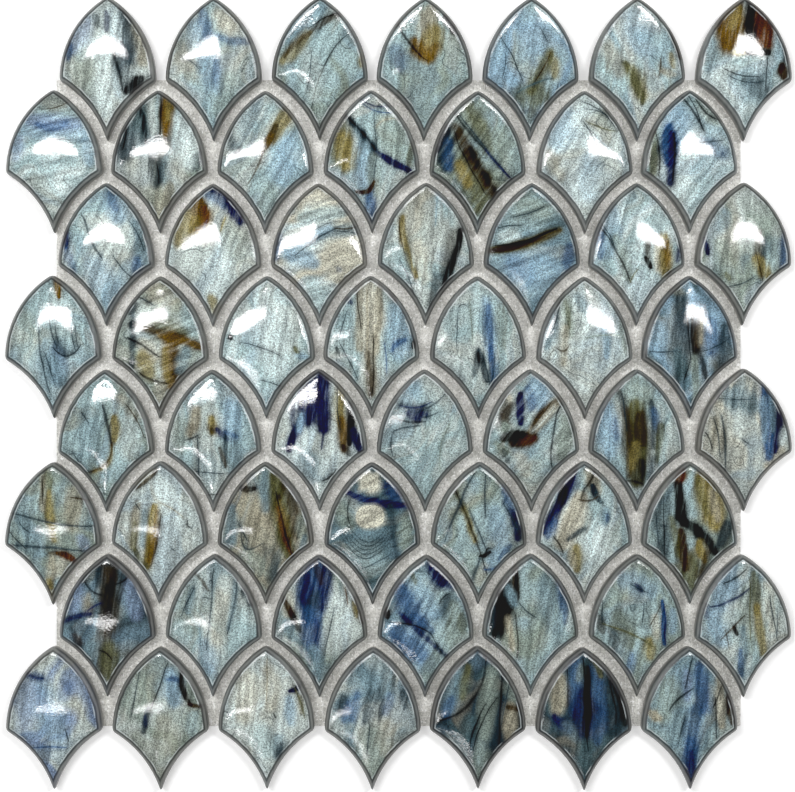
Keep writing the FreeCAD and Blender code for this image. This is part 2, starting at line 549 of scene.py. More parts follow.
# %% [markdown]
# ## Folding the glass
# Hot colours are stirred once with a rod, so every shape in the glass is drawn out and bent a little.
# One group bends a place by two noises: lightly for drawn marks, strongly for the ground and its hair lines.
# Bending the places, and not the colours, lets every later pattern follow the same folds.
# Places are in millimetres from the middle of each scale.

# %% Group for folded places
folding, given, result = new_group(
    "folded_glass", [("Place", "Vector"), ("Seed", "Float")], [("Bent", "Vector"), ("Folded", "Vector")])
flat = vector(folding, "MULTIPLY", given["Place"], (1, 1, 0))
for title, size, reach in (("Bent", 0.07, 1.6), ("Folded", 0.05, 34)):
    push = cloud(folding, flat, size, 1.0, given["Seed"]).outputs["Color"]
    push = vector(folding, "SUBTRACT", push, (0.5, 0.5, 0.5))
    push = vector(folding, "MULTIPLY", push, (reach, reach, 0))
    feed(folding, result[title], vector(folding, "ADD", flat, push))
print("folding takes", len(folding.nodes), "nodes")

# %% [markdown]
# ## The ground of a scale
# Most of a scale is two colours poured together, with a breath of warm and cool glass drifting through.
# A painted picture would fit one scale only, while noise gives every scale its own ground.
# The fine strands are noise too, stretched along the flow, and they lighten and darken the ground.

# %% Group for the poured ground
WARM_DRIFT = mixed(152, 148, 132)
COOL_DRIFT = mixed(120, 146, 164)

pouring, given, result = new_group(
    "poured_ground",
    [("Folded", "Vector"), ("Bent", "Vector"), ("Light", "Color"), ("Dark", "Color"), ("Flow", "Float"),
     ("Seed", "Float")],
    [("Colour", "Color"), ("Strands", "Float")])


def along_flow(place, stretch):
    """A place turned to the flow and stretched along it."""
    turned = pouring.nodes.new("ShaderNodeVectorRotate")
    turned.rotation_type = "Z_AXIS"
    feed(pouring, turned.inputs["Vector"], place)
    feed(pouring, turned.inputs["Angle"], given["Flow"])
    return vector(pouring, "MULTIPLY", turned.outputs[0], (1.0, stretch, 1.0))


broad = cloud(pouring, along_flow(given["Folded"], 0.4), 0.075, 2.0, given["Seed"], 0.5)
ground = blend(pouring, fade(pouring, broad.outputs["Fac"], 0.36, 0.64), given["Light"], given["Dark"])
drift = pouring.nodes.new("ShaderNodeSeparateColor")
feed(pouring, drift.inputs[0], broad.outputs["Color"])
ground = blend(pouring, fade(pouring, drift.outputs[1], 0.50, 0.68, 0.0, 0.40), ground, WARM_DRIFT)
ground = blend(pouring, fade(pouring, drift.outputs[2], 0.50, 0.68, 0.0, 0.35), ground, COOL_DRIFT)
strands = cloud(pouring, along_flow(given["Bent"], 0.12), 0.42, 3.0, given["Seed"], 0.6).outputs["Fac"]
shade = grey(pouring, fade(pouring, strands, 0.3, 0.7, 0.76, 1.20))
feed(pouring, result["Colour"], blend(pouring, 1.0, ground, shade, "MULTIPLY"))
feed(pouring, result["Strands"], strands)
print("the ground takes", len(pouring.nodes), "nodes")

# %% [markdown]
# ## Drawn marks
# A coloured rod laid on the hot glass leaves a mark: a soft plume, a crisp slab of colour or a fine thread.
# All three are a bent line with a width, so one group measures how far a place is from such a line.
# The strands of the ground feather every edge, so that a mark looks drawn out with the glass around it.

# %% Group for one drawn mark
marking, given, result = new_group(
    "drawn_mark",
    [("Under", "Color"), ("Tint", "Color"), ("Place", "Vector"), ("Strands", "Float"), ("Start", "Vector"),
     ("End", "Vector"), ("Bend", "Float"), ("Width", "Float"), ("Softness", "Float"), ("Feather", "Float"),
     ("Taper", "Float"), ("Strength", "Float")],
    [("Colour", "Color")])
run = vector(marking, "SUBTRACT", given["End"], given["Start"])
reach = vector(marking, "SUBTRACT", given["Place"], given["Start"])
along = calc(marking, "DIVIDE", vector(marking, "DOT_PRODUCT", reach, run),
             vector(marking, "DOT_PRODUCT", run, run), clamp=True)
bow = calc(marking, "MULTIPLY", along, calc(marking, "SUBTRACT", 1.0, along))
bow = calc(marking, "MULTIPLY", bow, calc(marking, "MULTIPLY", given["Bend"], 4.0))
sideways = vector(marking, "NORMALIZE", vector(marking, "CROSS_PRODUCT", (0, 0, 1), run))
foot = vector(marking, "ADD", given["Start"], vector(marking, "SCALE", run, scale=along))
foot = vector(marking, "ADD", foot, vector(marking, "SCALE", sideways, scale=bow))
away = vector(marking, "DISTANCE", given["Place"], foot)
middle = calc(marking, "SUBTRACT", calc(marking, "MULTIPLY", along, 2.0), 1.0)
narrowing = calc(marking, "MULTIPLY", calc(marking, "MULTIPLY", middle, middle), given["Taper"])
width = calc(marking, "MULTIPLY", given["Width"], calc(marking, "SUBTRACT", 1.0, narrowing))
fringe = calc(marking, "MULTIPLY", calc(marking, "SUBTRACT", given["Strands"], 0.5), given["Feather"])
share = calc(marking, "ADD", calc(marking, "DIVIDE", away, width), fringe)
mask = fade(marking, share, calc(marking, "ADD", 1.0, given["Softness"]),
            calc(marking, "SUBTRACT", 1.0, given["Softness"]))
gaps = fade(marking, given["Strands"], 0.45, 0.72, 0.0, 0.22)
loose = calc(marking, "SUBTRACT", 1.0, calc(marking, "MULTIPLY", gaps, given["Feather"]))
halo = fade(marking, calc(marking, "SUBTRACT", away, width), 1.5, 0.0, 0.0, 0.3)
mask = calc(marking, "MULTIPLY", mask, loose)
mask = calc(marking, "MAXIMUM", mask, calc(marking, "MULTIPLY", halo, loose))
mask = calc(marking, "MULTIPLY", mask, given["Strength"])
streaks = grey(marking, fade(marking, given["Strands"], 0.3, 0.7, 0.62, 1.38))
tint = blend(marking, 1.0, given["Tint"], streaks, "MULTIPLY")
feed(marking, result["Colour"], blend(marking, mask, given["Under"], tint))
print("a mark takes", len(marking.nodes), "nodes")

# %% [markdown]
# ## Fine hair lines
# Between the marks the glass has hair-thin lines where two pours met.
# They could be drawn one by one, like the marks, but there are a great many of them.
# The contour lines of a folded noise have just that look, and a second noise breaks them up.

# %% Group for hair lines
hairing, given, result = new_group(
    "hair_lines", [("Under", "Color"), ("Folded", "Vector"), ("Seed", "Float"), ("Amount", "Float")],
    [("Colour", "Color")])
field = cloud(hairing, given["Folded"], 0.05, 0.0, given["Seed"]).outputs["Fac"]
level = calc(hairing, "PINGPONG", calc(hairing, "MULTIPLY", field, 9.0), 0.5)
line = fade(hairing, level, 0.065, 0.0)
broken = fade(hairing, cloud(hairing, given["Folded"], 0.10, 0.0, given["Seed"]).outputs["Fac"], 0.45, 0.65)
line = calc(hairing, "MULTIPLY", calc(hairing, "MULTIPLY", line, broken), given["Amount"])
feed(hairing, result["Colour"], blend(hairing, line, given["Under"], GLASS["slate"]))
print("hair lines take", len(hairing.nodes), "nodes")

# %% [markdown]
# ## The edge of the glass
# In real glass the rounded rim bends the light, and from above it shows as lines along the outline.
# From the outside in they are a thin dark line, a grey band, a darker line and, in places, a bright line.
# Here they are painted into the colour: the dark lines and the grey band as painted shade, the bright line as
# a painted highlight. The four arcs give the exact distance to the edge, so no texture image is needed.

# %% Distance to the edge
MM = 1000
EDGE_WANDER = 0.5

edging, given, result = new_group(
    "scale_edge", [("Face", "Color"), ("Place", "Vector"), ("Seed", "Float"), ("Tone", "Float")],
    [("Colour", "Color"), ("Satin", "Float")])
flat = vector(edging, "MULTIPLY", given["Place"], (1, 1, 0))
nearest = None
for side in (-1, 1):
    crown = vector(edging, "DISTANCE", flat, (side * CROWN_CENTRE.x * MM, 0, 0))
    crown = calc(edging, "SUBTRACT", CROWN_RADIUS * MM, crown)
    flank = vector(edging, "DISTANCE", flat, (side * FLANK_CENTRE.x * MM, FLANK_CENTRE.y * MM, 0))
    flank = calc(edging, "SUBTRACT", flank, FLANK_RADIUS * MM)
    closer = calc(edging, "MINIMUM", crown, flank)
    nearest = closer if nearest is None else calc(edging, "MINIMUM", nearest, closer)
uneven = cloud(edging, flat, 0.22, 2.0, given["Seed"]).outputs["Fac"]
wander = calc(edging, "MULTIPLY", calc(edging, "SUBTRACT", uneven, 0.5), EDGE_WANDER)
inset = calc(edging, "ADD", nearest, wander)
print("the distance to the edge takes", len(edging.nodes), "nodes")

# %% Lines along the rim
BAND_WIDTH = 2.6
RIM_HIGHLIGHT_INSET = 2.1
PAINTED_RIM_HIGHLIGHT = mixed(196, 204, 205)

# The ramp paints the rim's dark lines and grey band as shade.
band = edging.nodes.new("ShaderNodeValToRGB")
feed(edging, band.inputs["Fac"], calc(edging, "DIVIDE", inset, BAND_WIDTH))
stops = [(0.0, mixed(96, 96, 94)), (0.07, mixed(52, 52, 51)), (0.15, mixed(84, 84, 82)),
         (0.24, mixed(106, 106, 103)), (0.38, mixed(100, 100, 98)), (0.45, mixed(80, 80, 79)),
         (0.50, mixed(14, 14, 14)), (0.68, mixed(12, 12, 13)), (0.75, mixed(76, 78, 79))]
while len(band.color_ramp.elements) < len(stops):
    band.color_ramp.elements.new(0.5)
for element, (position, colour) in zip(band.color_ramp.elements, stops):
    element.position = position
    element.color = colour
painted_rim_lines = blend(edging, 0.12, band.outputs["Color"], given["Face"])
# The thin bright line inside the rim is a painted highlight.
bright = calc(edging, "ABSOLUTE", calc(edging, "SUBTRACT", inset, RIM_HIGHLIGHT_INSET))
bright = fade(edging, bright, 0.30, 0.06)
patchy = cloud(edging, flat, 0.12, 1.0, given["Seed"]).outputs["Fac"]
patchy = fade(edging, patchy, 0.44, 0.60, 0.0, 0.6)
print(len(stops), "colours across the rim")

# %% [markdown]
# ## The glass inside the rim
# Inside the rim the colours have a fine grain, and a painted shade darkens them towards the rim, where the
# glass turns down.
# The walls in the joints are greyed towards the foot by a painted shade for the narrow joint.
# The face is glossy and the rim only satin, because a mirror-like rim would hide its own lines.

# %% Grain, foot and gloss
RIM_WIDTH = 1.95
GRAIN = 1.8
DEEPENING = 0.045
JOINT_WALL_SHADE = mixed(168, 167, 161)
GLOSSY = 0.05
SATIN = 0.35

grains = cloud(edging, given["Place"], GRAIN, 2.0, given["Seed"], 0.8, "3D").outputs["Fac"]
grains = fade(edging, grains, 0.33, 0.67, 0.48, 1.62)
# The grain is the glass's own, while the darkening towards the rim is painted shade.
shade = calc(edging, "MULTIPLY", grains, fade(edging, inset, 2.4, 5.2, 0.74, 1.0))
# The row factor is a painted shade that darkens the lower rows.
shade = calc(edging, "MULTIPLY", shade, given["Tone"])
deepened = edging.nodes.new("ShaderNodeBrightContrast")
deepened.inputs["Contrast"].default_value = DEEPENING
feed(edging, deepened.inputs["Color"], given["Face"])
face = blend(edging, 1.0, deepened.outputs["Color"], grey(edging, shade), "MULTIPLY")
whole = blend(edging, fade(edging, inset, RIM_WIDTH, RIM_WIDTH - 0.2), face, painted_rim_lines)
whole = blend(edging, calc(edging, "MULTIPLY", bright, patchy), whole, PAINTED_RIM_HIGHLIGHT)
height = edging.nodes.new("ShaderNodeSeparateXYZ")
feed(edging, height.inputs[0], given["Place"])
# The walls are greyed towards the foot with a painted shade.
deep = fade(edging, height.outputs["Z"], 5.6, 1.0, 0.0, 0.7)
feed(edging, result["Colour"], blend(edging, deep, whole, JOINT_WALL_SHADE))
feed(edging, result["Satin"], fade(edging, inset, 3.0, 1.9, GLOSSY, SATIN))
print("the edge takes", len(edging.nodes), "nodes")

# %% [markdown]
# ## The skin of the glass
# Poured glass has a fine orange-peel skin, which breaks up the edges of every reflection.
# It is a bump far too small to model: grains of under a millimetre over slow, shallow waves.
# No two faces are domed quite alike. In the bump alone, and not in the mesh, each face also leans its own
# way by up to about twelve degrees, so that the lamps show in different places and in some faces not at all.

# %% Group for the skin
SKIN_DEPTH = 0.00002
MIDDLE_COLUMN = 4
EAST_STEP = 1.2
LEAN_NORTH = (-4.0, 0.0, 1.0, 1.0, 0.0, -3.0, -1.0, 0.0)
AWAY_NORTH = -11.0
TURNED_AWAY = {
    (1, 3), (1, 4), (1, 5), (1, 6), (2, 4), (2, 5), (3, 4), (3, 5),
    (4, 4), (4, 5), (5, 4), (5, 5), (5, 6), (5, 7),
}

skinning, given, result = new_group(
    "glass_skin", [("Place", "Vector"), ("Seed", "Float"), ("Lean", "Vector")], [("Height", "Float")])
peel = cloud(skinning, given["Place"], 1.6, 1.0, given["Seed"], 0.5, "3D").outputs["Fac"]
wave = cloud(skinning, given["Place"], 0.16, 0.0, given["Seed"], 0.5, "3D").outputs["Fac"]
lean = vector(skinning, "DOT_PRODUCT", given["Place"], given["Lean"])
feed(skinning, result["Height"], calc(skinning, "SUBTRACT", calc(skinning, "ADD", peel, wave), lean))


def leaning(row, column):
    """How the height of the skin falls per millimetre, east and north, for one face."""
    east = EAST_STEP * (column - MIDDLE_COLUMN)
    north = AWAY_NORTH if (row, column) in TURNED_AWAY else LEAN_NORTH[row - 1]
    falls = [math.tan(math.radians(angle)) / MM / SKIN_DEPTH for angle in (east, north)]
    return (falls[0], falls[1], 0.0)


print("the skin takes", len(skinning.nodes), "nodes")

# %% [markdown]
# ## Pouring a scale
# Each scale gets a material of its own, because each was poured on its own.
# One material with random colours would be shorter, but then no scale could be told what to look like.
# The pour sets two ground colours and the direction of the flow, and the lower rows get a painted shade, as
# if less light fell on them.

# %% The pouring bench
def place_group(tree, group, **values):
    """Puts a node group in a material and sets its inputs by name."""
    node = tree.nodes.new("ShaderNodeGroup")
    node.node_tree = group
    for title, value in values.items():
        feed(tree, node.inputs[title], value)
    return node


def place_in_scale(tree, name):
    """Places in millimetres from the middle of one scale, turned with it."""
    x, y, turn = places[name]
    middle = tree.nodes.new("ShaderNodeMapping")
    feed(tree, middle.inputs["Vector"], tree.nodes.new("ShaderNodeTexCoord").outputs["Object"])
    middle.inputs["Scale"].default_value = (MM, MM, MM)
    middle.inputs["Rotation"].default_value = (0, 0, -turn)
    offset = Matrix.Rotation(-turn, 3, "Z") @ Vector((-x * MM, -y * MM, 0))
    middle.inputs["Location"].default_value = offset
    return middle.outputs["Vector"]


def emboss(tree, shader, height, depth):
    """Raises the surface of a finish by a bump."""
    bump = tree.nodes.new("ShaderNodeBump")
    bump.inputs["Distance"].default_value = depth
    feed(tree, bump.inputs["Height"], height)
    feed(tree, shader.inputs["Normal"], bump.outputs["Normal"])


print("bench ready for", len(places), "scales")

# %% Pour one scale
GLASS_IOR = 1.5
ROW_SEED = 3.7
COLUMN_SEED = 1.3
UPPER_ROWS = 4
UPPER_ROWS_LEVEL = 0.92
LOWER_ROWS_PAINTED_SHADE = 0.845

bench = {}


def pour(row, column, light, dark, flow, hairs=0.65):
    """Starts the glass of one scale."""
    name = f"scale_r{row}_c{column}"
    glass, tree, shader = new_finish(f"glass_r{row}_c{column}")
    shader.inputs["IOR"].default_value = GLASS_IOR
    seed = ROW_SEED * row + COLUMN_SEED * column
    # The lower rows get a painted shade.
    painted_row_shade = UPPER_ROWS_LEVEL if row <= UPPER_ROWS else LOWER_ROWS_PAINTED_SHADE
    place = place_in_scale(tree, name)
    folded = place_group(tree, folding, Place=place, Seed=seed)
    ground = place_group(tree, pouring, Folded=folded.outputs["Folded"], Bent=folded.outputs["Bent"],
                         Light=GLASS[light], Dark=GLASS[dark], Flow=math.radians(90 - flow), Seed=seed)
    lined = place_group(tree, hairing, Under=ground.outputs["Colour"], Folded=folded.outputs["Folded"],
                        Seed=seed, Amount=hairs)
    edge = place_group(tree, edging, Face=lined.outputs["Colour"], Place=place, Seed=seed, Tone=painted_row_shade)
    feed(tree, shader.inputs["Base Color"], edge.outputs["Colour"])
    feed(tree, shader.inputs["Roughness"], edge.outputs["Satin"])
    skin = place_group(tree, skinning, Place=place, Seed=seed, Lean=leaning(row, column))
    emboss(tree, shader, skin.outputs["Height"], SKIN_DEPTH)
    bench.update(tree=tree, under=lined.outputs["Colour"], edge=edge, place=folded.outputs["Bent"],
                 strands=ground.outputs["Strands"])
    scales[name].data.materials.clear()
    scales[name].data.materials.append(glass)


def tally():
    """Prints how many scales have their glass."""
    print("poured", len([m for m in bpy.data.materials if m.name.startswith("glass_r")]), "scales")


tally()

# %% [markdown]
# ## Laying a mark
# Every mark goes over what is already there, as a rod is pressed into glass that has been poured.
# Marks could be mixed in one large node tree, but a chain of small groups keeps their order easy to read.
# They are placed in millimetres from the middle of the scale, with y towards the tip.

# %% Plumes, slabs and threads
SHORTEST = 0.01
PLUME_SPREAD = 1.4
SLAB_SPREAD = 1.5
THREAD_SPREAD = 0.65
THREAD_DEPTH = 0.85


def mark(tint, x1, y1, x2, y2, bend, width, strength, softness, feather, taper):
    """Lays one mark over what has been poured so far. Even a dot gets some length."""
    tree = bench["tree"]
    node = place_group(tree, marking, Under=bench["under"], Tint=GLASS[tint], Place=bench["place"],
                       Strands=bench["strands"], Start=(x1, y1, 0), End=(x2 + SHORTEST, y2, 0),
                       Bend=bend, Width=width, Softness=softness, Feather=feather, Taper=taper,
                       Strength=strength)
    feed(tree, bench["edge"].inputs["Face"], node.outputs["Colour"])
    bench["under"] = node.outputs["Colour"]


def plume(tint, x1, y1, x2, y2, bend=0.0, width=3.0, strength=0.95):
    """A soft mark with ragged edges."""
    mark(tint, x1, y1, x2, y2, bend, width * PLUME_SPREAD, strength,
         softness=0.65, feather=1.15, taper=0.3)


def slab(tint, x1, y1, x2, y2, bend=0.0, width=2.0, strength=1.0):
    """A crisper mark of full colour."""
    mark(tint, x1, y1, x2, y2, bend, width * SLAB_SPREAD, strength,
         softness=0.5, feather=0.8, taper=0.35)


def thread(tint, x1, y1, x2, y2, bend=0.0, width=0.35, strength=1.0):
    """A thin line that narrows at its ends."""
    mark(tint, x1, y1, x2, y2, bend, width * THREAD_SPREAD, strength * THREAD_DEPTH,
         softness=0.9, feather=0.4, taper=0.5)


print("three kinds of mark ready")

# %% [markdown]
# ## The colours, row by row
# The sheet is mostly pale grey-blue glass with plumes of navy, streaks of amber and dark threads.
# Each pour below follows one scale, from left to right, starting with the top row.

# %% Row 1
pour(1, 1, "frost", "silver", 80)
plume("sage", -9, 8, -6, -3, 0, 4.2, 0.6)
plume("lilac", -8, 22, -12, 12, 0, 2.8, 0.6)
plume("denim", -14, 12, -15, 8, 0, 1.5, 0.8)
plume("navy", 0, 25, 0, 18, 0, 0.9, 0.7)
plume("slate", -5, 24, -3, 20, 0, 1.1, 0.7)
plume("taupe", 11, 20, 14, 7, 0, 2.4, 0.8)
plume("slate", 6, 28, 9, 7, 0.5, 2.0, 0.85)
plume("slate", 5, 12, 8, -3, 0, 2.4, 0.75)
thread("ink", 2, 14, 6, -4, 0, 1.1)
slab("ink", 8, -4, 13, 0, 0, 1.9)
plume("frost", -1, 4, 0, -13, 0, 2.8, 0.8)
pour(1, 2, "aqua", "silver", 80)
plume("taupe", -13, 12, -8, 2, 0, 3.4, 0.55)
plume("sky", -6, 20, 0, -2, 0.5, 3.2, 0.7)
plume("denim", -4, 26, -2, 15, 0, 1.7, 0.65)
plume("denim", 1, 16, 15, 15, -1.2, 1.2, 0.6)
plume("cream", 3, 24, 6, 20, 0, 3.4, 0.75)
plume("denim", 1, 7, 2, -5, 0, 1.3, 0.5)
plume("sage", 6, 0, 3, -12, 0, 3.2, 0.5)
thread("slate", -11, 8, -5, 4, 0.5, 0.45)
pour(1, 3, "aqua", "sage", 62)
plume("steel", -1, 26, -11, 15, 0, 4.2, 0.8)
plume("honey", -14, 7, -4, 17, -0.8, 1.8, 0.75)
plume("umber", -13, 9, 10, 26, 1.2, 1.0, 0.8)
thread("bark", -4, 19, 10, 26, 0.8, 0.6)
thread("ink", 13, 19, -3, -11, -3.2, 0.6)
plume("silver", -4, 8, -2, -6, 0, 2.8, 0.5)
thread("slate", -3, 10, -5, -4, 0.4, 0.4)
plume("honey", 16, 11, 16, 5, 0, 0.9, 0.8)
pour(1, 4, "aqua", "sage", 85)
plume("denim", -11, 11, -9, 5, 0, 2.6, 0.5)
plume("taupe", 2, 26, 0, 14, 0, 3.0, 0.8)
plume("honey", 4, 18, 1, 9, 0, 3.2, 0.9)
plume("amber", -4, 14, 1, 8, -0.6, 2.2, 0.95)
plume("amber", 1, 8, 4, 12, 0, 1.8, 0.75)
thread("bark", -11, 22, 1, 7, -1.6, 0.9)
slab("bark", 8, 24, 11, 18, 0.4, 1.2)
thread("bark", 11, 18, 16, 12, 0.6, 0.8)
pour(1, 5, "aqua", "sky", 78)
plume("sky", -4, 24, 2, 12, 0, 4.0, 0.6)
plume("olive", -3, -6, 5, -7, 0, 4.0, 0.8)
plume("honey", 7, 9, 9, 1, 0.4, 1.8, 0.75)
plume("olive", 7, 10, 0, -4, 0, 2.0, 0.8)
thread("umber", 7, 10, 1, -2, 0, 0.6)
thread("teal", -5, -5, 8, 0, 0.8, 0.7)
thread("ink", -6, 25, -7, 21, 0, 0.4)
thread("slate", -12, 17, -3, -1, 0.3, 0.45)
thread("slate", -10, 10, -11, 0, 0.4, 0.4)
thread("slate", 3, 20, 6, 14, 0, 0.35)
plume("umber", -1, -12, 3, -15, 0, 2.0, 0.5)
pour(1, 6, "frost", "aqua", 82)
plume("sky", -2, 24, 2, 12, 0, 3.6, 0.5)
plume("taupe", -11, 12, -7, 3, 0, 3.0, 0.6)
plume("honey", -3, 4, 2, -6, 0, 2.2, 0.7)
plume("olive", -5, 6, 2, -8, 0.3, 1.4, 0.9)
slab("umber", 13, 19, 16, 9, 0.5, 1.2)
plume("honey", 12, 10, 13, 5, 0, 1.0, 0.7)
thread("umber", 8, 8, 7, 1, 0.3, 0.8)
plume("taupe", 9, 3, 13, 2, 0, 1.3, 0.7)
pour(1, 7, "frost", "aqua", 80)
plume("steel", -12, 14, -14, 5, 0, 2.4, 0.6)
slab("amber", -5, 28, -6, 14, 0, 4.4)
plume("honey", -3, 27, -5, 20, 0, 1.6, 0.6)
slab("rust", 6, 28, 7, 14, 0.3, 3.6)
plume("bark", 1, 31, 2, 14, 0, 1.6, 0.95)
plume("slate", 12, 24, 16, 8, 1.0, 1.8, 0.9)
slab("honey", -4, 10, 0, 10, 0, 1.3)
slab("bark", 1, 10, 8, 10, 0, 1.4)
slab("umber", 14, 5, 15, 1, 0, 1.6)
plume("slate", 2, -1, 8, -6, 0, 2.6, 0.6)
thread("ink", -8, 4, 5, 1, -0.8, 0.5)
thread("slate", -7, 2, 7, -1, -1.2, 0.4)
thread("ink", 8, 8, 8, -4, 0, 0.4)
tally()

# %% [markdown]
# ## The second row
# A navy streak crosses the fourth scale, and a broad fold of olive and umber runs through the fifth.
# The fold could be one wide mark, but several plumes with threads over them look more like stirred glass.

# %% Row 2
pour(2, 1, "frost", "aqua", 12)
plume("taupe", -2, 27, 4, 26, 0, 2.6, 0.55)
plume("sky", -11, 16, 11, 15, 0, 3.0, 0.7)
plume("lilac", -9, 20, 9, 18, -0.8, 2.2, 0.75)
plume("denim", -6, 18, 5, 18, -1.5, 1.2, 0.75)
plume("sky", 13, 14, 14, 4, 0, 2.0, 0.6)
plume("lilac", -13, 12, -14, 6, 0, 2.0, 0.6)
plume("sage", 0, 10, 6, 9, 0, 2.5, 0.5)
thread("umber", -4, 24, 6, 26.5, -1.2, 0.45)
thread("slate", -10, 11, 12, 12, 0.5, 0.3, 0.6)
pour(2, 2, "silver", "sage", 84)
plume("slate", -11, 18, -13, 7, 0, 3.2, 0.85)
plume("teal", -6, 26, -3, 10, 0.4, 3.0, 0.8)
plume("silver", -3, 27, -1, 14, 0, 1.3, 0.8)
plume("ink", -7, 24, -4, 10, 0.6, 0.8, 0.85)
thread("ink", -12, 17, -13, 9, 0.5, 0.6)
plume("umber", 4, 17, 2, 8, 0.5, 2.0, 0.85)
slab("amber", 3.6, 31, 3.4, 15, 0, 1.8)
plume("honey", 4, 29, 4, 20, 0, 0.9, 0.7)
thread("bark", 0.8, 31, 1.2, 14, 0, 0.8)
plume("frost", 10, 20, 12, 4, 0.6, 3.6, 0.85)
plume("slate", 0, 12, -1, -4, 0, 2.0, 0.8)
plume("slate", 3, 3, 1, -3, 0, 1.5, 0.7)
plume("taupe", 4, -6, 1, -16, 0, 2.4, 0.7)
plume("slate", 16, 7, 14, 1, 0, 1.5, 0.8)
thread("ink", -1, 5, 0, -4, 0.4, 0.5)
pour(2, 3, "silver", "aqua", 62)
plume("steel", -4, 26, -8, 16, 0, 3.4, 0.55)
plume("sky", 8, 12, 6, -2, 0, 4.0, 0.65)
plume("slate", -13, 14, -10, 7, 0, 1.7, 0.8)
plume("honey", 9, 24, 3, 13, 0.3, 2.5, 0.85)
plume("umber", 4, 17, 1, 10, 0, 1.3, 0.8)
plume("amber", 2, 14, -1, 8, 0, 1.2, 0.7)
thread("umber", 0, 10, -6, -4, 0.6, 0.9)
plume("sage", 2, -6, 0, -15, 0, 3.0, 0.5)
pour(2, 4, "silver", "aqua", 80)
plume("sage", 6, 20, 9, 8, 0, 4.5, 0.7)
plume("sky", -3, 9, -2, -4, 0, 3.0, 0.7)
plume("olive", -12, 18, -11, 4, 0, 3.4, 0.8)
plume("honey", -11, 13, -9, 3, 0, 2.8, 0.9)
plume("olive", 15, 10, 14, 3, 0, 1.2, 0.7)
plume("steel", -5, 15, 0, 8, 0, 1.6, 0.8)
plume("slate", -10, 22, 2, 7, 0.6, 1.1)
thread("ink", -10, 22, 2, 7, 0.8, 0.9)
slab("navy", 2, 7, 15, 0, 0, 1.0)
thread("navy", -4, 28, 9, 25, -1.5, 0.7)
thread("denim", -3, 26, 8, 22.5, -1.2, 0.5)
thread("taupe", 2, 17, 10, 20, 1.5, 0.4)
thread("slate", 1, 26, 2, 7, 0, 0.4)
plume("sage", 1, 5, 1, -8, 0, 2.0, 0.7)
thread("slate", 2, 6, 0.5, -8, 0, 0.5)
plume("denim", -1, -8, 0, -17, 0, 1.7, 0.85)
slab("umber", -6, -7, 1, -4, -1.8, 0.8)
pour(2, 5, "aqua", "sage", 58)
plume("olive", -3, 25, 4, 8, 0.4, 2.4, 0.75)
plume("sage", 8, 14, 12, 2, 0, 3.0, 0.5)
slab("slate", -13, 16, -12, 3, 0, 3.0)
plume("denim", -11, 12, -11, 2, 0, 1.5, 0.6)
plume("olive", -3, 4, 2, -12, 0, 4.8, 0.9)
plume("umber", -8, 17, 7, -9, -0.8, 1.8)
plume("bark", -3, 9, 6, -6, -0.4, 1.1, 0.8)
plume("honey", -7, 3, -4, -4, 0, 1.8, 0.85)
thread("ink", -9, 23, 3, 8, -0.5, 1.0)
thread("slate", -7, 22, 13, -2, -0.8, 0.7)
thread("navy", 3, 8, 13, -2, -0.3, 0.8)
thread("bark", -9, 16, 3, -8, -1.0, 0.6)
pour(2, 6, "frost", "silver", 62)
plume("sky", -8, 22, -10, 12, 0, 3.6, 0.6)
plume("taupe", -14, 7, -10, -1, 0, 2.2, 0.6)
plume("sky", 2, 8, 1, -8, 0, 3.0, 0.4)
plume("sage", 5, 22, 10, 18, 0, 2.0, 0.5)
thread("slate", -1, 27, 12, 17, 0.8, 0.5)
thread("slate", 0, 24, 10, 20, 0.6, 0.4)
thread("olive", 0, 19, 12, 16, -0.8, 0.5)
thread("slate", -1, 19, 5, 8, 0.4, 0.5)
thread("steel", 4, 13, 9, 9, 0, 0.4)
pour(2, 7, "frost", "aqua", 50)
plume("sky", -7, 24, -4, 14, 0, 3.8, 0.85)
plume("sage", 4, 26, 10, 19, 0.6, 2.2, 0.7)
plume("olive", -14, 15, -14, 0, 0, 1.6, 0.85)
slab("denim", -8, 17, -8, 4, 0, 2.3)
plume("navy", -7, 15, -8, -4, 0.4, 1.3)
thread("ink", -6, 15, -7, -3, 0.4, 0.9)
plume("denim", 5, 11, 12, 7, 0, 2.2, 0.5)
plume("aqua", 6, -4, 1, -14, 0, 3.0, 0.6)
thread("ink", -4, 29, 5, 15, 0.8, 0.9)
thread("ink", -1, 29, 4, 17, 0.8, 0.5)
thread("ink", 2, 28, 13, 19, -1.8, 0.8)
thread("ink", 4, 27, 14, 20, 1.4, 0.6)
thread("bark", -13, 15, -12, -1, 0.8, 0.7)
thread("slate", -2, 12, 12, 12, -0.8, 0.5)
tally()

# %% [markdown]
# ## The third row
# The fifth scale is cut across by one long band: an olive slab, an umber plume over it and a thin dark slab.
# Three marks on nearly the same line give the band a soft edge and a hard heart.

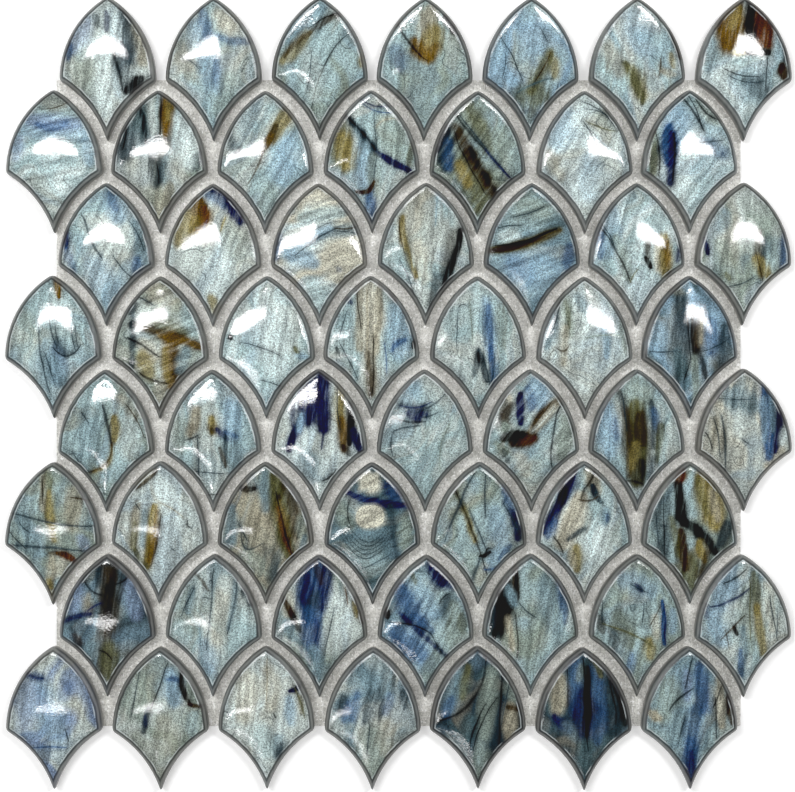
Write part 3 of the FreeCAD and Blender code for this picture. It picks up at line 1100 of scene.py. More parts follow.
# %% Row 3
pour(3, 1, "aqua", "silver", 68)
plume("sky", -4, 0, 3, -13, 0, 4.5, 0.6)
plume("sky", 2, 27, 5, 18, 0, 3.0, 0.7)
plume("denim", 2, 27, 4, 21, 0, 1.2, 0.6)
slab("navy", -16, 15, -15, 7, 0.4, 1.3)
plume("denim", -15, 6, -12, -2, 0, 1.4, 0.6)
plume("steel", 12, 16, 14, 0, 0.4, 2.0, 0.75)
plume("denim", 12, 2, 12, -3, 0, 1.5, 0.7)
thread("slate", -9, 19, -6, 12, 0.4, 0.9)
thread("slate", -6, 10, -1, 3, 0, 0.9)
thread("slate", 9, 17, 14, 6, 0.5, 0.5)
thread("slate", 3, 4, 11, -5, -0.6, 0.5)
pour(3, 2, "frost", "silver", 75)
plume("honey", -9, 20, -12, 9, 0, 2.4, 0.8)
slab("amber", -5, 24, -5, 14, 0.8, 2.8)
plume("rust", -3, 22, -2.5, 15, 0.4, 1.0, 0.8)
plume("honey", -7, 18, -8, 13, 0, 1.6, 0.7)
plume("denim", -2, 28, 4, 23, 0.4, 1.7, 0.75)
slab("navy", 6, 26, 10, 17, 0.4, 2.2)
plume("navy", 0, 29, 7, 25, 0.8, 1.2, 0.9)
plume("sage", 6, 14, 10, 4, 0, 3.4, 0.4)
thread("honey", 5, 18, 3, 13, 0, 0.8)
slab("umber", -10, 8, -3, 11, 0, 0.7)
plume("honey", 0, -12, 2, -18, 0, 1.8, 0.85)
pour(3, 3, "frost", "cream", 20)
plume("cream", -2, 26, 6, 21, 0, 3.4, 0.7)
plume("aqua", -6, 18, 8, 20, 0, 2.4, 0.7)
plume("steel", -15, 5, 15, 14, 1.8, 2.1, 0.75)
plume("denim", -15, 12, -16, 3, 0, 1.2, 0.75)
plume("sky", -11, 5, -2, 1, 0, 2.4, 0.75)
plume("sky", -7, 8, 4, 14, 0.5, 1.4, 0.6)
thread("slate", -9, 4, 7, 14, 0.8, 0.55)
thread("umber", 6, 14, 16, 15.5, -0.6, 0.6)
thread("slate", -10, 7, 8, 17, 1.3, 0.45)
thread("slate", 6, 13, 16, 12, 0.4, 0.35)
plume("denim", 7, -1, 8, -2, 0, 0.7, 0.8)
plume("cream", 4, 2, 8, -3, 0, 3.0, 0.5)
plume("aqua", -2, -8, 2, -15, 0, 3.4, 0.7)
pour(3, 4, "aqua", "silver", 86)
plume("taupe", -1, 25, -2, 6, 0, 4.8, 0.6)
plume("silver", 3, 22, 2, 4, 0, 3.0, 0.6)
plume("cream", -3, 8, -1, -5, 0, 2.4, 0.6)
plume("honey", -9, 18, -4, -4, -1.4, 1.1, 0.9)
thread("umber", -10, 18, -4, -6, -1.6, 0.5)
plume("umber", 11, 12, 7, -3, 0, 1.9, 0.6)
slab("ink", 13, 13, 6, -11, 0.6, 1.1)
plume("slate", 5, -4, 2, -16, 0, 1.5, 0.7)
plume("aqua", -12, 6, -8, -3, 0, 2.0, 0.6)
thread("steel", 4, 27, 3, 15, 0.4, 0.6)
thread("slate", -10, 2, -4, -12, 0.4, 0.45)
pour(3, 5, "aqua", "steel", 20)
plume("sage", -4, 25, 4, 20, 0, 4.2, 0.7)
plume("sky", -6, 0, 8, -5, 0, 6.5, 0.75)
plume("denim", -8, 2, -2, -4, 0, 2.6, 0.35)
plume("frost", -11, 11, -6, 11, 0, 1.8, 0.7)
plume("denim", 14, 7, 13, 0, 0, 1.7, 0.7)
slab("olive", -16, 6, 10, 13, -1.4, 1.5)
plume("umber", -16, 6, 10, 13, -1.4, 1.3, 0.9)
slab("bark", -14, 7.5, 9, 13.5, -1.2, 0.4)
thread("slate", -8, 18, 4, 22, -0.6, 0.5)
thread("slate", -13, 14, -4, 15, 0.5, 0.5)
plume("teal", 2, 16, 12, 16, 0, 1.5, 0.5)
pour(3, 6, "frost", "aqua", 75)
plume("sky", -10, 20, -11, 6, 0, 3.4, 0.6)
plume("denim", -14, 13, -14, 3, 0, 1.3, 0.7)
plume("sage", -8, 10, -4, -4, 0.6, 1.6, 0.7)
plume("cream", 8, 9, 8, -1, 0, 1.8, 0.8)
plume("honey", 10, 11, 10.5, -3, 0, 1.8, 0.95)
plume("amber", 11, 9, 11, 0, 0, 1.0, 0.75)
plume("umber", 4, 10, 4, 3, 0, 1.0, 0.8)
slab("bark", 3, 3, 5, -1, 0, 0.8)
plume("navy", 16, 7, 15, 2, 0, 1.2, 0.85)
plume("bark", 11, -2, 12, -4, 0, 0.8, 0.6)
thread("bark", -14, 14, -3, -6, 1.4, 0.7)
thread("olive", -3, -6, 0, -1, 0.4, 0.6)
thread("slate", -14, 16, -8, 6, 0.5, 0.4)
pour(3, 7, "silver", "sage", 85)
plume("taupe", -6, 16, -6, 2, 0, 3.0, 0.5)
plume("sage", -9, 8, -7, -4, 0, 2.4, 0.6)
plume("aqua", 11, 8, 9, -2, 0, 2.4, 0.7)
plume("denim", 16, 12, 15, 0, 0, 1.6, 0.85)
slab("navy", -15, 10, -13.5, 4, 0, 0.8)
plume("umber", 5, 12, 5, 3, 0, 1.5, 0.85)
plume("slate", 9, 11, 7, 3, 0, 1.3, 0.7)
plume("honey", 4, 2, 9, -4, 0, 1.9, 0.9)
plume("olive", -7, -3, -6, -5, 0, 0.9, 0.8)
plume("steel", -7, 19, -9, 14, 0, 2.0, 0.5)
thread("slate", -7, -8, 4, -4, -0.8, 0.5)
thread("umber", 4, 4, 7, -6, 0, 0.5)
tally()

# %% [markdown]
# ## The fourth row
# The second scale is a tangle of amber and umber, with marks in several directions.
# The third is almost plain, so its hair lines are turned down by the last number of its pour.

# %% Row 4
pour(4, 1, "silver", "aqua", 86)
plume("sage", -9, 14, -9, 2, 0, 3.4, 0.5)
slab("amber", 2, 31, 3, 23.5, 0, 1.0)
plume("denim", 3, 5, 2, -8, 0, 2.4, 0.55)
plume("steel", 0, -1, 3, -9, 0, 2.8, 0.75)
plume("slate", 3, 7, 7, 2, -0.8, 1.3, 0.7)
plume("aqua", 4, 14, 6, 7, 0, 2.6, 0.6)
thread("slate", -5, 15, -1, -13, -0.6, 0.6)
thread("slate", -1, 15, 2, 5, -0.4, 0.5)
thread("slate", 1, 14, 3, 6, -0.3, 0.4)
thread("ink", 1, 4, 11, 5, -3.4, 0.8)
thread("slate", 7, 13, 9, 3, -0.3, 0.5)
thread("slate", 9, 12, 10, 4, -0.3, 0.4)
thread("slate", -2, 2, 1, -10, 0, 0.45)
pour(4, 2, "silver", "sage", 22)
plume("taupe", -3, 27, 4, 22, 0, 4.0, 0.7)
plume("slate", -10, 24, -10, 17, 0, 1.4, 0.8)
plume("aqua", 11, 20, 13, 10, 0, 2.6, 0.8)
plume("olive", -4, 13, 8, 9, 0, 3.2, 0.8)
plume("cream", -6, 5, -2, 1, 0, 2.4, 0.7)
plume("honey", -6, 1, -3, -6, 0, 2.4, 0.8)
plume("amber", 4, 9, 5, -10, 0, 2.4, 0.9)
plume("honey", 2, 4, 3, -8, 0, 1.0, 0.6)
plume("umber", 6, 6, 6, -6, 0, 1.0, 0.7)
plume("umber", -10, 13, 16, 4.5, 0.4, 1.4, 0.85)
plume("amber", 0, 9, 15, 5, 0, 1.2, 0.7)
plume("slate", -10, 14, -10, -3, 0, 1.0, 0.85)
plume("steel", 10, 3, 8, -4, 0, 1.8, 0.7)
plume("taupe", 0, -10, 1, -18, 0, 2.4, 0.6)
thread("ink", -12, 8, 0, 1, 0, 0.9)
thread("bark", -7, -5, 3, -9, -1.0, 0.9)
thread("slate", -10, 24, -2, 20, 0.3, 0.5)
pour(4, 3, "frost", "aqua", 80, 0.35)
plume("frost", 3, 22, 4, -4, 0, 5.0, 0.7)
slab("ink", -14, 8.5, -13.5, 7.5, 0, 0.8)
plume("sky", 12, 2, 15, 1, 0, 1.0, 0.7)
plume("olive", 11, 4.5, 12, 3, 0, 0.8, 0.9)
thread("slate", -10, 6, 6, 1, 0.4, 0.4)
thread("slate", -2, -8, 8, -11, 0.2, 0.4)
thread("slate", 6, 20, 8, 8, 0.5, 0.3, 0.6)
pour(4, 4, "silver", "aqua", 88)
plume("sky", 10, 18, 11, 2, 0, 3.4, 0.7)
plume("aqua", -9, 14, -7, -2, 0, 3.0, 0.6)
plume("taupe", -4, 28, -4, 4, 0, 1.6, 0.85)
plume("taupe", 0, 8, 0, -12, 0, 2.2, 0.8)
plume("cream", 0, 28, 0, 4, 0, 2.2, 0.85)
plume("taupe", 3, 28, 2, 2, 0, 1.2, 0.8)
plume("umber", -1, 2, 0, -13, 0, 1.2, 0.8)
plume("denim", 13, 7, 8, 3, -0.8, 1.0, 0.85)
slab("ink", 7, 27, 9, 22, 0.4, 0.8)
plume("navy", -10, 23, -7, 21, 0, 1.0, 0.85)
slab("ink", 16.5, 7, 16, 4, 0, 0.7)
plume("ink", -13, 4, -12, 2, 0, 0.6, 0.8)
thread("bark", -5, 28, -4, 12, 0, 0.6)
thread("taupe", -1, 26, -1.5, 0, 0, 0.7)
thread("bark", 1, 8, 0.5, -13, 0, 0.6)
thread("slate", -12, 6, -5, -8, 0.5, 0.5)
thread("slate", -9, 18, -12, 8, 0, 0.5)
thread("denim", 5, 6, 6, -6, 0.3, 0.5)
pour(4, 5, "aqua", "silver", 88)
plume("sage", 9, 18, 10, 6, 0, 2.8, 0.5)
plume("sky", 3, 22, 4, 4, 0, 1.9, 0.7)
plume("denim", 3.5, 20, 4.5, 0, 0, 1.2, 0.8)
plume("denim", 4.5, 4, 6, -12, 0.3, 1.2, 0.9)
plume("slate", 0, 3, -2, -6, 0, 1.0, 0.7)
plume("slate", 0, 3, 3, -8, 0, 1.2, 0.85)
plume("ink", -0.5, 2, 0.5, -1, 0, 0.9, 0.85)
thread("slate", -7, 19, -4, 20, 0.8, 0.5)
thread("slate", -7, 18, -8, 3, -0.4, 0.45)
thread("sage", -3, 22, -2, 6, 0, 0.4)
thread("slate", 1, 2, 4, -10, 0.3, 0.5)
thread("slate", 6, 2, 5, -9, 0, 0.4)
pour(4, 6, "frost", "silver", 85)
plume("steel", -12, 19, -15, 5, 0.3, 1.8, 0.8)
plume("sage", -8, 25, -6, 10, 0.4, 1.8, 0.8)
plume("olive", -7, 22, -6, 12, 0.3, 0.8, 0.6)
plume("taupe", -8, 12, -8, -1, 0, 1.4, 0.7)
plume("steel", -3, 24, 1, 18, 0, 1.4, 0.6)
plume("sage", 14, 14, 15, 4, 0, 1.2, 0.6)
plume("sky", 7, 16, 8, 1, 0, 1.1, 0.7)
thread("steel", 8, 14, 8, 2, 0, 0.5)
thread("umber", -11, 4.5, -6, 6, -1.8, 0.7)
thread("slate", -8, 25, -13, 10, 0.3, 0.5)
thread("sage", 0, 8, 13, 9, 0.4, 0.4)
pour(4, 7, "sky", "teal", 86)
plume("sky", -12, 12, -12, 2, 0, 2.4, 0.7)
plume("denim", 8, 13, 8, 3, 0, 2.4, 0.6)
plume("slate", -4, 22, -4, -6, 0, 2.4, 0.8)
plume("slate", 13, 12, 12, -4, 0, 1.6, 0.8)
slab("bark", 0.5, 17, 1.5, 2, 0, 0.9)
plume("umber", 3, 17, 3, 4, 0, 1.3, 0.85)
plume("taupe", 4, 14, 4, 6, 0, 0.7, 0.7)
plume("bark", 3, 3, 6, -8, 0, 1.0, 0.85)
plume("sage", 1, 0, 2, -14, 0, 1.3, 0.8)
plume("teal", -5, 2, -2, -10, 0, 2.2, 0.7)
thread("ink", -2, 16, 0, 0, 0.3, 0.6)
thread("slate", 5, 3, 15, 8, -0.8, 0.5)
thread("slate", -15, 3, -5, 3, -0.4, 0.5)
thread("ink", 0, 1, -3, -9, 0.3, 0.5)
tally()

# %% [markdown]
# ## The fifth row
# The third scale carries slabs of navy beside honey and amber, and the sixth an olive band down its middle.
# Where two strong colours meet, a narrow pale plume between them keeps the edge clean.

# %% Row 5
pour(5, 1, "aqua", "sage", 76)
plume("steel", -6, 14, -5, 0, 0, 3.6, 0.6)
plume("silver", 10, 12, 9, 0, 0, 3.4, 0.6)
plume("taupe", 7, 20, 13, 14, 0, 2.0, 0.6)
plume("honey", 3.5, 13, 4, 5, 0.2, 1.3, 0.9)
plume("honey", 3, 3, -6, -7, 3.2, 0.8, 0.8)
plume("steel", -10, -1, -7, -6, 0, 1.6, 0.6)
thread("ink", -0.5, 18, 3, 3, 0.2, 1.1)
thread("umber", 3.2, 4, -7, -7, 3.4, 0.9)
thread("slate", -9, 15, -6, 11, 0, 0.6)
thread("slate", -12, 0, -6, -7, -0.6, 0.5)
thread("umber", 8, 18, 15, 6, 0.6, 0.5)
pour(5, 2, "aqua", "silver", 86)
plume("sky", 7, 18, 8, 6, 0, 2.8, 0.8)
plume("steel", 10, 6, 8, -6, 0, 2.6, 0.6)
plume("sage", -12, 12, -11, 2, 0, 2.2, 0.6)
plume("taupe", -6, 16, -8, 7, 0.3, 1.7, 0.9)
plume("umber", -7, 10, -8, 6, 0, 1.0, 0.6)
plume("honey", 0, 13, 0.5, 8, 0, 1.3, 0.95)
plume("umber", -1, 9, 1, 8, 0, 0.8, 0.7)
plume("navy", 2, 9, 6, 5, 0, 0.9, 0.9)
plume("denim", 5, 8, 9, 6, 0, 0.8, 0.7)
plume("slate", 5, 6, 5, -5, 0.3, 0.9, 0.9)
plume("umber", 3, 2, 5, -5, 0, 0.8, 0.7)
plume("steel", -2, -2, -1, -10, 0, 3.0, 0.5)
thread("ink", -10, 5, -5, 6.5, -0.4, 0.7)
thread("slate", -5, 6, -5, -12, 0, 0.6)
thread("slate", -7, -7, 6, -8, 0, 0.4)
thread("ink", -3, -16, 4, -16, 0.4, 0.5)
pour(5, 3, "frost", "silver", 85)
plume("steel", -4, -2, 1, -9, 0, 3.0, 0.6)
slab("navy", -3, 31, -4, 13, 0, 3.6)
slab("navy", 2, 30, 2, 9, 0, 2.3)
slab("navy", -5, 14, -11, 1, -0.4, 1.5)
plume("navy", -10, 18, -10, 10, 0, 1.0, 0.8)
plume("sky", -6.5, 14, -7, 8, 0, 1.0, 0.9)
plume("frost", 6, 27, 6, 16, 0, 1.0, 0.7)
plume("honey", 8, 27, 8.5, 10, 0, 1.5, 0.95)
plume("amber", 9, 12, 9.5, 1, 0, 1.5)
slab("bark", 12, 18, 11.5, 3, 0.3, 1.0)
slab("navy", 13, 8, 15.5, 1, 0, 1.4)
plume("bark", 9, 2, 12, -1, 0, 1.0, 0.8)
plume("silver", 3, 3, 1, -8, 0, 1.8, 0.6)
thread("navy", 2, 10, 1, 1, 0, 0.9)
thread("slate", 7, 25, 8, 8, 0, 0.4)
thread("bark", 1, -11, 6, -7, -0.6, 0.7)
pour(5, 4, "aqua", "silver", 70, 0.35)
plume("sky", -4, 25, -6, 18, 0, 3.0, 0.6)
plume("slate", -8, 18, 1, 16, 0, 1.7, 0.7)
plume("navy", -6, 15, 0, 14, 0, 1.8)
plume("navy", -5, 13, -2, 12, 0, 1.0, 0.9)
thread("ink", -12, 13.5, 0, 11.5, -0.8, 0.8)
thread("navy", -9, 18, 3, 19, -1.4, 0.8)
thread("slate", -3, 15, 8, 22, -1.0, 0.6)
thread("slate", -1, 13, 5, 15, -0.5, 0.6)
thread("slate", -12, 8, -2, 10, 0.8, 0.7)
thread("slate", -12, 8, -12, -1, -1.0, 0.6)
thread("sage", 11, 14, 6, -7, -2.0, 0.5)
pour(5, 5, "aqua", "silver", 50)
plume("sky", 2, 26, 4, 18, 0, 3.2, 0.9)
plume("denim", -1, 24, 0, 17, 0, 1.6, 0.7)
slab("navy", -4, 22, -4, 11, 0, 1.2)
plume("umber", -9, 20, -10, 11, 0, 2.0, 0.9)
plume("cream", -8, 21, -8, 20, 0, 1.0, 0.9)
slab("sage", -10, 10, -9.5, 8.5, 0, 1.3)
plume("sage", 13, 12, 12, -1, 0, 2.4, 0.85)
slab("taupe", 11, 20, -1, 7, 0, 1.5)
plume("umber", 12, 21, 0, 8, -1.4, 0.9)
slab("umber", -7, 4, 0, 6, 0, 2.1)
slab("bark", -11, 5, -4, 7, 0.4, 1.5)
plume("rust", -3, 4, 1, 5, 0, 1.2, 0.6)
plume("olive", -13, 3, -10, 0, 0, 1.5, 0.7)
plume("slate", -11, 1, -9, -3, 0, 0.9, 0.6)
plume("cream", -5, -1, -2, -8, 0, 1.8, 0.5)
thread("ink", 12, 19, 8, -6, -1.8, 0.8)
thread("frost", 9, 17, 0, 8, 0.8, 0.4, 0.7)
pour(5, 6, "aqua", "silver", 88)
plume("sky", -12, 16, -11, 0, 0, 3.0, 0.85)
plume("denim", -9, 12, -8, 6, 0, 1.4, 0.5)
plume("sage", -2, 26, 2, 20, 0, 4.0, 0.8)
slab("olive", -1, 18, -0.5, -11, 0, 3.0)
plume("umber", -4, 16, -3, -9, 0, 1.2, 0.75)
plume("umber", 1, 14, 1, 4, 0, 2.0, 0.8)
plume("honey", -1, 3, -2, -6, 0, 1.3, 0.7)
plume("bark", 1, -4, 0, -11, 0, 2.0, 0.85)
plume("slate", 5, 19, 6, 2, 0.3, 1.2, 0.85)
plume("denim", 6, 16, 8, 8, 0, 1.2, 0.6)
plume("olive", 9, 10, 7, -3, 0, 1.2, 0.75)
plume("slate", 6, -2, 4, -10, 0, 1.0, 0.7)
plume("umber", -7, 23, -5, 14, 0.3, 0.9, 0.7)
thread("bark", -4, -11, 2, -12, 0.4, 0.8)
thread("slate", -6, 22, -4, 8, 0.3, 0.5)
pour(5, 7, "silver", "cream", 85)
plume("steel", -7, 22, 4, 17, 0, 3.6, 0.8)
plume("teal", -6, 18, 2, 17, 0, 1.4, 0.5)
plume("taupe", -12, 12, -10, 2, 0, 2.0, 0.7)
slab("denim", 8, 26, 9, -2, 0.3, 1.9)
plume("sky", 7, 20, 7, 4, 0, 1.0, 0.7)
slab("navy", 13, 22, 11.5, 0, 0.6, 1.0)
plume("steel", 10, 24, 10, 8, 0, 0.9, 0.7)
plume("frost", 14.5, 8, 14, 3, 0, 1.0, 0.8)
thread("slate", -9, 14, -7, -6, 0.3, 0.9)
thread("slate", -12, 13, -9, -2, 0.3, 0.5)
thread("ink", -15, 7, -12, 1, 0.3, 0.6)
thread("slate", -10, 20, 3, 20, -0.6, 0.4)
thread("slate", -2, 5, 1, 3, 0, 0.4)
tally()

# %% [markdown]
# ## The sixth row
# The fourth scale has a round pale drop with curved lines below it.
# The drop is one short, wide mark with a hard edge, and a loop lays the lines, each a little lower and wider.

# %% Row 6
pour(6, 1, "aqua", "sage", 84)
plume("taupe", 8, 20, 9, 8, 0, 3.0, 0.75)
plume("steel", -11, 9, -8, 2, 0, 3.0, 0.7)
plume("olive", -2, 28, 0, 8, 0, 1.7, 0.8)
plume("honey", -1, 20, 1, 2, 0, 1.2, 0.8)
plume("taupe", -4, 26, -3, 14, 0, 1.0, 0.7)
plume("steel", -13, 0, -4, -3, 0, 1.6, 0.7)
plume("cream", 4, -6, 3, -10, 0, 2.2, 0.7)
slab("rust", 2, -3, 9, -6, 0.8, 0.9)
plume("umber", -1, -3, 5, -3, 0, 0.7, 0.8)
plume("taupe", 0, -5, -1, -16, 0, 1.4, 0.85)
plume("honey", -1, -13, 0, -20, 0, 1.3, 0.9)
plume("lilac", 11, 3, 13, -1, 0, 1.6, 0.6)
thread("slate", -15, 12, 16, 7, -0.6, 0.8)
thread("slate", -16, 0, 12, -2, 0.3, 0.9)
thread("slate", -12, 9, -8, 5, -0.5, 0.5)
thread("ink", -16, 5, -10, -1, -0.3, 0.5)
thread("bark", -4, 25, -3, 16, 0, 0.6)
thread("umber", 7, 18, 14, 17, 0, 0.7)
pour(6, 2, "silver", "frost", 85, 0.35)
plume("steel", -5, 12, -6, 0, 0, 1.5, 0.7)
plume("taupe", -8, 15, -10, -1, 0, 1.3, 0.85)
plume("olive", -9, 8, -10, -2, 0, 0.9, 0.7)
slab("honey", -1.5, 15, -4.5, -8, 0.5, 1.4)
plume("amber", -0.5, 13, -3.5, -6, 0.5, 1.0, 0.85)
plume("umber", -1, 28, -9, 21, 0.4, 0.7, 0.9)
plume("honey", -3, 28, -9, 23, 0, 0.8, 0.7)
plume("olive", -9, -2, -5, -9, 0, 0.9, 0.85)
thread("umber", 1, 12, -3, -8, 0.6, 0.7)
thread("frost", -10, 14, -1, 16, 1.6, 0.5)
thread("slate", -9, 15, -7, 13, 0, 0.5)
thread("taupe", 0, 16, 9, 10, 0.6, 0.4)
thread("ink", 10.5, 9, 12, 6, -0.8, 0.6)
thread("slate", 5, -1, 6, -2, 0, 0.5)
pour(6, 3, "sage", "taupe", 76)
plume("steel", -13, 14, -13, 2, 0, 2.0, 0.8)
plume("steel", 0, 27, 0, 14, 0, 1.8, 0.8)
plume("taupe", -5, 18, -4, 2, 0, 2.8, 0.7)
slab("olive", 4, 26, 9, -3, -0.4, 2.3)
plume("umber", 8, 22, 12, 4, 0.4, 1.8, 0.85)
plume("umber", 5, 18, 9, 0, -0.3, 1.2, 0.7)
plume("honey", 5, 16, 8, 4, 0, 0.9, 0.75)
plume("rust", 5, 14, 10, -3, -0.4, 0.7, 0.85)
plume("sage", 13, 10, 14, 3, 0, 1.5, 0.6)
plume("steel", 15, 3, 14, -1, 0, 1.1, 0.7)
slab("bark", -9, 22, -4, 21.5, -0.8, 1.1)
plume("slate", 1, -2, 2, -12, 0, 2.6, 0.6)
plume("sage", -5, -4, -2, -10, 0, 2.6, 0.6)
thread("bark", 4, 20, 11, -5, -0.4, 0.7)
thread("slate", -9, 6, -1, 1, -5.0, 0.7)
thread("slate", -10, 8, -7, 2, 0, 0.5)
pour(6, 4, "steel", "teal", 25, 0.3)
plume("sage", -12, 16, -9, 8, 0, 2.6, 0.8)
plume("aqua", -6, -2, 2, -7, 0, 4.0, 0.7)
slab("cream", -2, 25, 0, 23, 0, 3.4)
plume("navy", 5, 23, 9, 19, 0, 1.9, 0.85)
plume("denim", 8, 22, 10, 16, 0, 1.6, 0.7)
plume("slate", 0, 17, 8, 15, 0, 1.2, 0.8)
slab("navy", -9, 20, 15, 15, -1.2, 1.1)
mark("cream", -1.5, 11, 0.5, 11, 0, 4.5, 1.0, 0.12, 0.15, 0)
plume("slate", 7, 15, 9, -4, 0, 1.1, 0.85)
plume("sage", 13, 9, 12, 0, 0, 2.2, 0.9)
for drop in range(5):
    thread("slate", -9 - 0.7 * drop, 8 - drop, 6 + 0.4 * drop, 8 - drop, -6.8 - 0.6 * drop, 0.45)
thread("ink", -8, 17, -8, 8, -0.8, 0.6)
thread("slate", -5, -9, 7, -3, -0.8, 0.5)
pour(6, 5, "aqua", "sage", 66)
plume("sky", 6, 12, 9, 2, 0, 3.0, 0.6)
plume("denim", 9, 22, 13, 12, 0, 1.5, 0.8)
plume("navy", 12, 13, 15, 3, 0.3, 1.3)
plume("sky", 9, -2, 4, -8, 0, 2.4, 0.7)
plume("denim", 12, 0, 8, -5, 0, 1.0, 0.6)
plume("honey", -6, 14, -2, 2, 0.3, 1.1, 0.85)
plume("olive", -9, 21, -4, 10, 0, 0.9, 0.7)
plume("cream", 2, -8, 0, -14, 0, 1.6, 0.5)
slab("bark", 0, -4, 4, -2.5, -0.5, 0.7)
thread("bark", -9, 21, 0.5, -4, 0.3, 0.9)
thread("slate", -2, 27, -13, 1, -0.6, 0.9)
thread("slate", 2, 27, 2, 11, 0, 0.6)
thread("slate", -4, 14, 3, -3, 0, 0.6)
thread("slate", 9, 16, 16, 3, 0.3, 0.7)
thread("bark", 2, -3, 5, -1, 1.0, 0.7)
thread("slate", 0, -5, -3, -14, 0.2, 1.1)
thread("ink", 1, -5, 3, -11, 0, 0.6)
thread("denim", 2, -9, 9, -7, -0.8, 0.9)
pour(6, 6, "frost", "aqua", 70)
slab("cream", -2, 17, -8, 1, 0, 3.2)
plume("taupe", -1, 19, -9, 2, 0, 1.2, 0.5)
slab("navy", -4, 29, -8, 17, 0.3, 2.3)
slab("navy", -9, 18, -15, 5, 0.3, 1.6)
plume("bark", -8, 22, -9, 16, 0, 1.4, 0.6)
plume("denim", -11, 9, -14, 3, 0, 1.2, 0.8)
plume("taupe", 2, 27, 5, 20, 0, 2.2, 0.9)
slab("slate", 3, 22, 6, 16, -0.3, 1.0)
plume("steel", 8, 13, 7, 8, 0, 1.3, 0.85)
plume("denim", 8, 11, 8, 9, 0, 0.7, 0.6)
plume("slate", -6, 2, 0, 6, 0, 0.9, 0.9)
plume("honey", -3, -1, -3, -9, 0, 1.7, 0.9)
plume("taupe", -5, -3, -4, -8, 0, 1.2, 0.7)
plume("frost", 6, 4, 3, -10, 0, 3.0, 0.6)
thread("bark", 4, 29, 0, 21, 0.8, 0.9)
thread("bark", 0, 21, -1, 17, 0, 0.8)
thread("umber", -2, 17, 5, 18, -1.0, 0.7)
thread("bark", -12, 3, -8, -3, 0.3, 0.7)
pour(6, 7, "aqua", "sage", 82)
plume("slate", -10, 18, -10, -2, 0, 3.0, 0.7)
plume("olive", -1, -6, 1, -15, 0, 3.4, 0.9)
slab("honey", 5, 25, 9, 8, 0.5, 3.5)
plume("taupe", 8, 20, 10, 10, 0, 1.4, 0.8)
plume("olive", 3, 24, 6, 12, 0, 1.2, 0.6)
slab("rust", -3, 28, -4.5, 24, 0, 1.7)
slab("bark", -5, 23, -3, 8, 0.3, 1.6)
slab("ink", -4, 10, 9, -3, 1.2, 1.6)
plume("slate", 14, 8, 11, 0, 0, 1.9, 0.9)
slab("umber", -4, 5, -2, -9, 0, 1.6)
plume("olive", -7, 10, -5, -4, 0, 1.0, 0.7)
slab("honey", 3, 1, 5, -6, -0.4, 1.2)
plume("umber", 6, -3, 3, -12, 0, 1.2, 0.8)
thread("ink", -10, 18, -10, -5, 0, 0.6)
thread("slate", -13, 12, -12, 0, 0, 0.5)
tally()

# %% [markdown]
# ## The seventh row
# The first scale is a dark one, steel poured with slate, and the third and fourth hold denim and navy.
# Dark scales start from dark grounds, because pale glass would still shine through between the marks.

# %% Row 7
pour(7, 1, "steel", "slate", 82)
plume("slate", -3, 28, 4, 24, 0, 3.6, 0.9)
plume("lilac", -12, 20, -12, 11, 0, 2.6, 0.7)
plume("lilac", 9, 20, 11, 9, 0, 2.4, 0.65)
plume("taupe", -7, 16, -7, 10, 0, 1.6, 0.6)
plume("umber", 0.5, 25, 1, 4, 0, 3.4, 0.8)
plume("bark", 1, 18, 1, 7, 0, 2.6, 0.7)
plume("slate", -3, 26, -4, 20, 0, 1.2, 0.8)
plume("umber", -1, 0, -1, -12, 0, 3.6, 0.6)
plume("olive", 1, -3, 1, -15, 0, 2.6, 0.8)
plume("steel", -5, -2, -7, -6, 0, 1.6, 0.6)
plume("rust", -12, 1, -10, -2, 0, 0.9, 0.6)
plume("navy", -16, 6, -6, 9, 0.6, 0.9, 0.9)
plume("slate", -13, 3, -8, -8, 0, 1.0, 0.7)
thread("ink", -9, 22, -2, 16, -1.0, 0.9)
thread("ink", 3, 20, 9, 24, -0.8, 0.7)
thread("navy", -7, 10, -2, 13, 0.4, 0.8)
thread("bark", -3, -4, 2, -8, 0.8, 0.6)
pour(7, 2, "silver", "aqua", 86)
plume("sage", -9, 16, -8, 4, 0, 3.0, 0.5)
plume("steel", -8, 18, -9, 10, 0, 1.2, 0.7)
plume("cream", 3, 16, 2, 0, 0, 2.8, 0.5)
plume("umber", -7, 24, -2, 18, 0.3, 0.6, 0.75)
plume("steel", 8, 22, 6, 4, 0.3, 1.0, 0.7)
plume("slate", 11, 18, 14, 13, 0, 1.2, 0.85)
plume("aqua", 11, 8, 10, 0, 0, 2.2, 0.6)
plume("sky", -3, -2, -1, -12, 0, 2.6, 0.6)
thread("slate", 8.5, 22, 5.5, 2, 0.4, 0.8)
thread("slate", 0, 26, -2, -4, 0.2, 0.6)
thread("slate", -7, 20, -12, 8, 0, 0.5)
thread("steel", -5, 6, -4, -10, 0, 0.5)
pour(7, 3, "silver", "sage", 80)
plume("cream", -11, 17, -12, 10, 0, 2.0, 0.7)
plume("frost", 9, 14, 5, -3, 0, 3.8, 0.5)
slab("denim", -1.5, 28, -2.5, 9, 0, 4.4)
plume("navy", -5, 24, -4, 11, 0, 2.0, 0.8)
plume("navy", 3, 28, 1, 12, 0, 2.0, 0.85)
plume("umber", -1, 29, 1, 21, 0, 1.1, 0.6)
plume("slate", -1, 17, -2, 10, 0, 1.8, 0.8)
plume("denim", -3, 9, -2.5, -6, 0, 3.0, 0.9)
plume("navy", -1, 7, -1, -2, 0, 0.9, 0.7)
plume("steel", -2, -4, -1, -14, 0, 2.2, 0.8)
slab("umber", -14, 16, -8, 4, 0.3, 0.9)
plume("bark", -9, 8, -7, 3, 0, 0.8, 0.8)
plume("steel", -12, 6, -9, 0, 0, 1.8, 0.8)
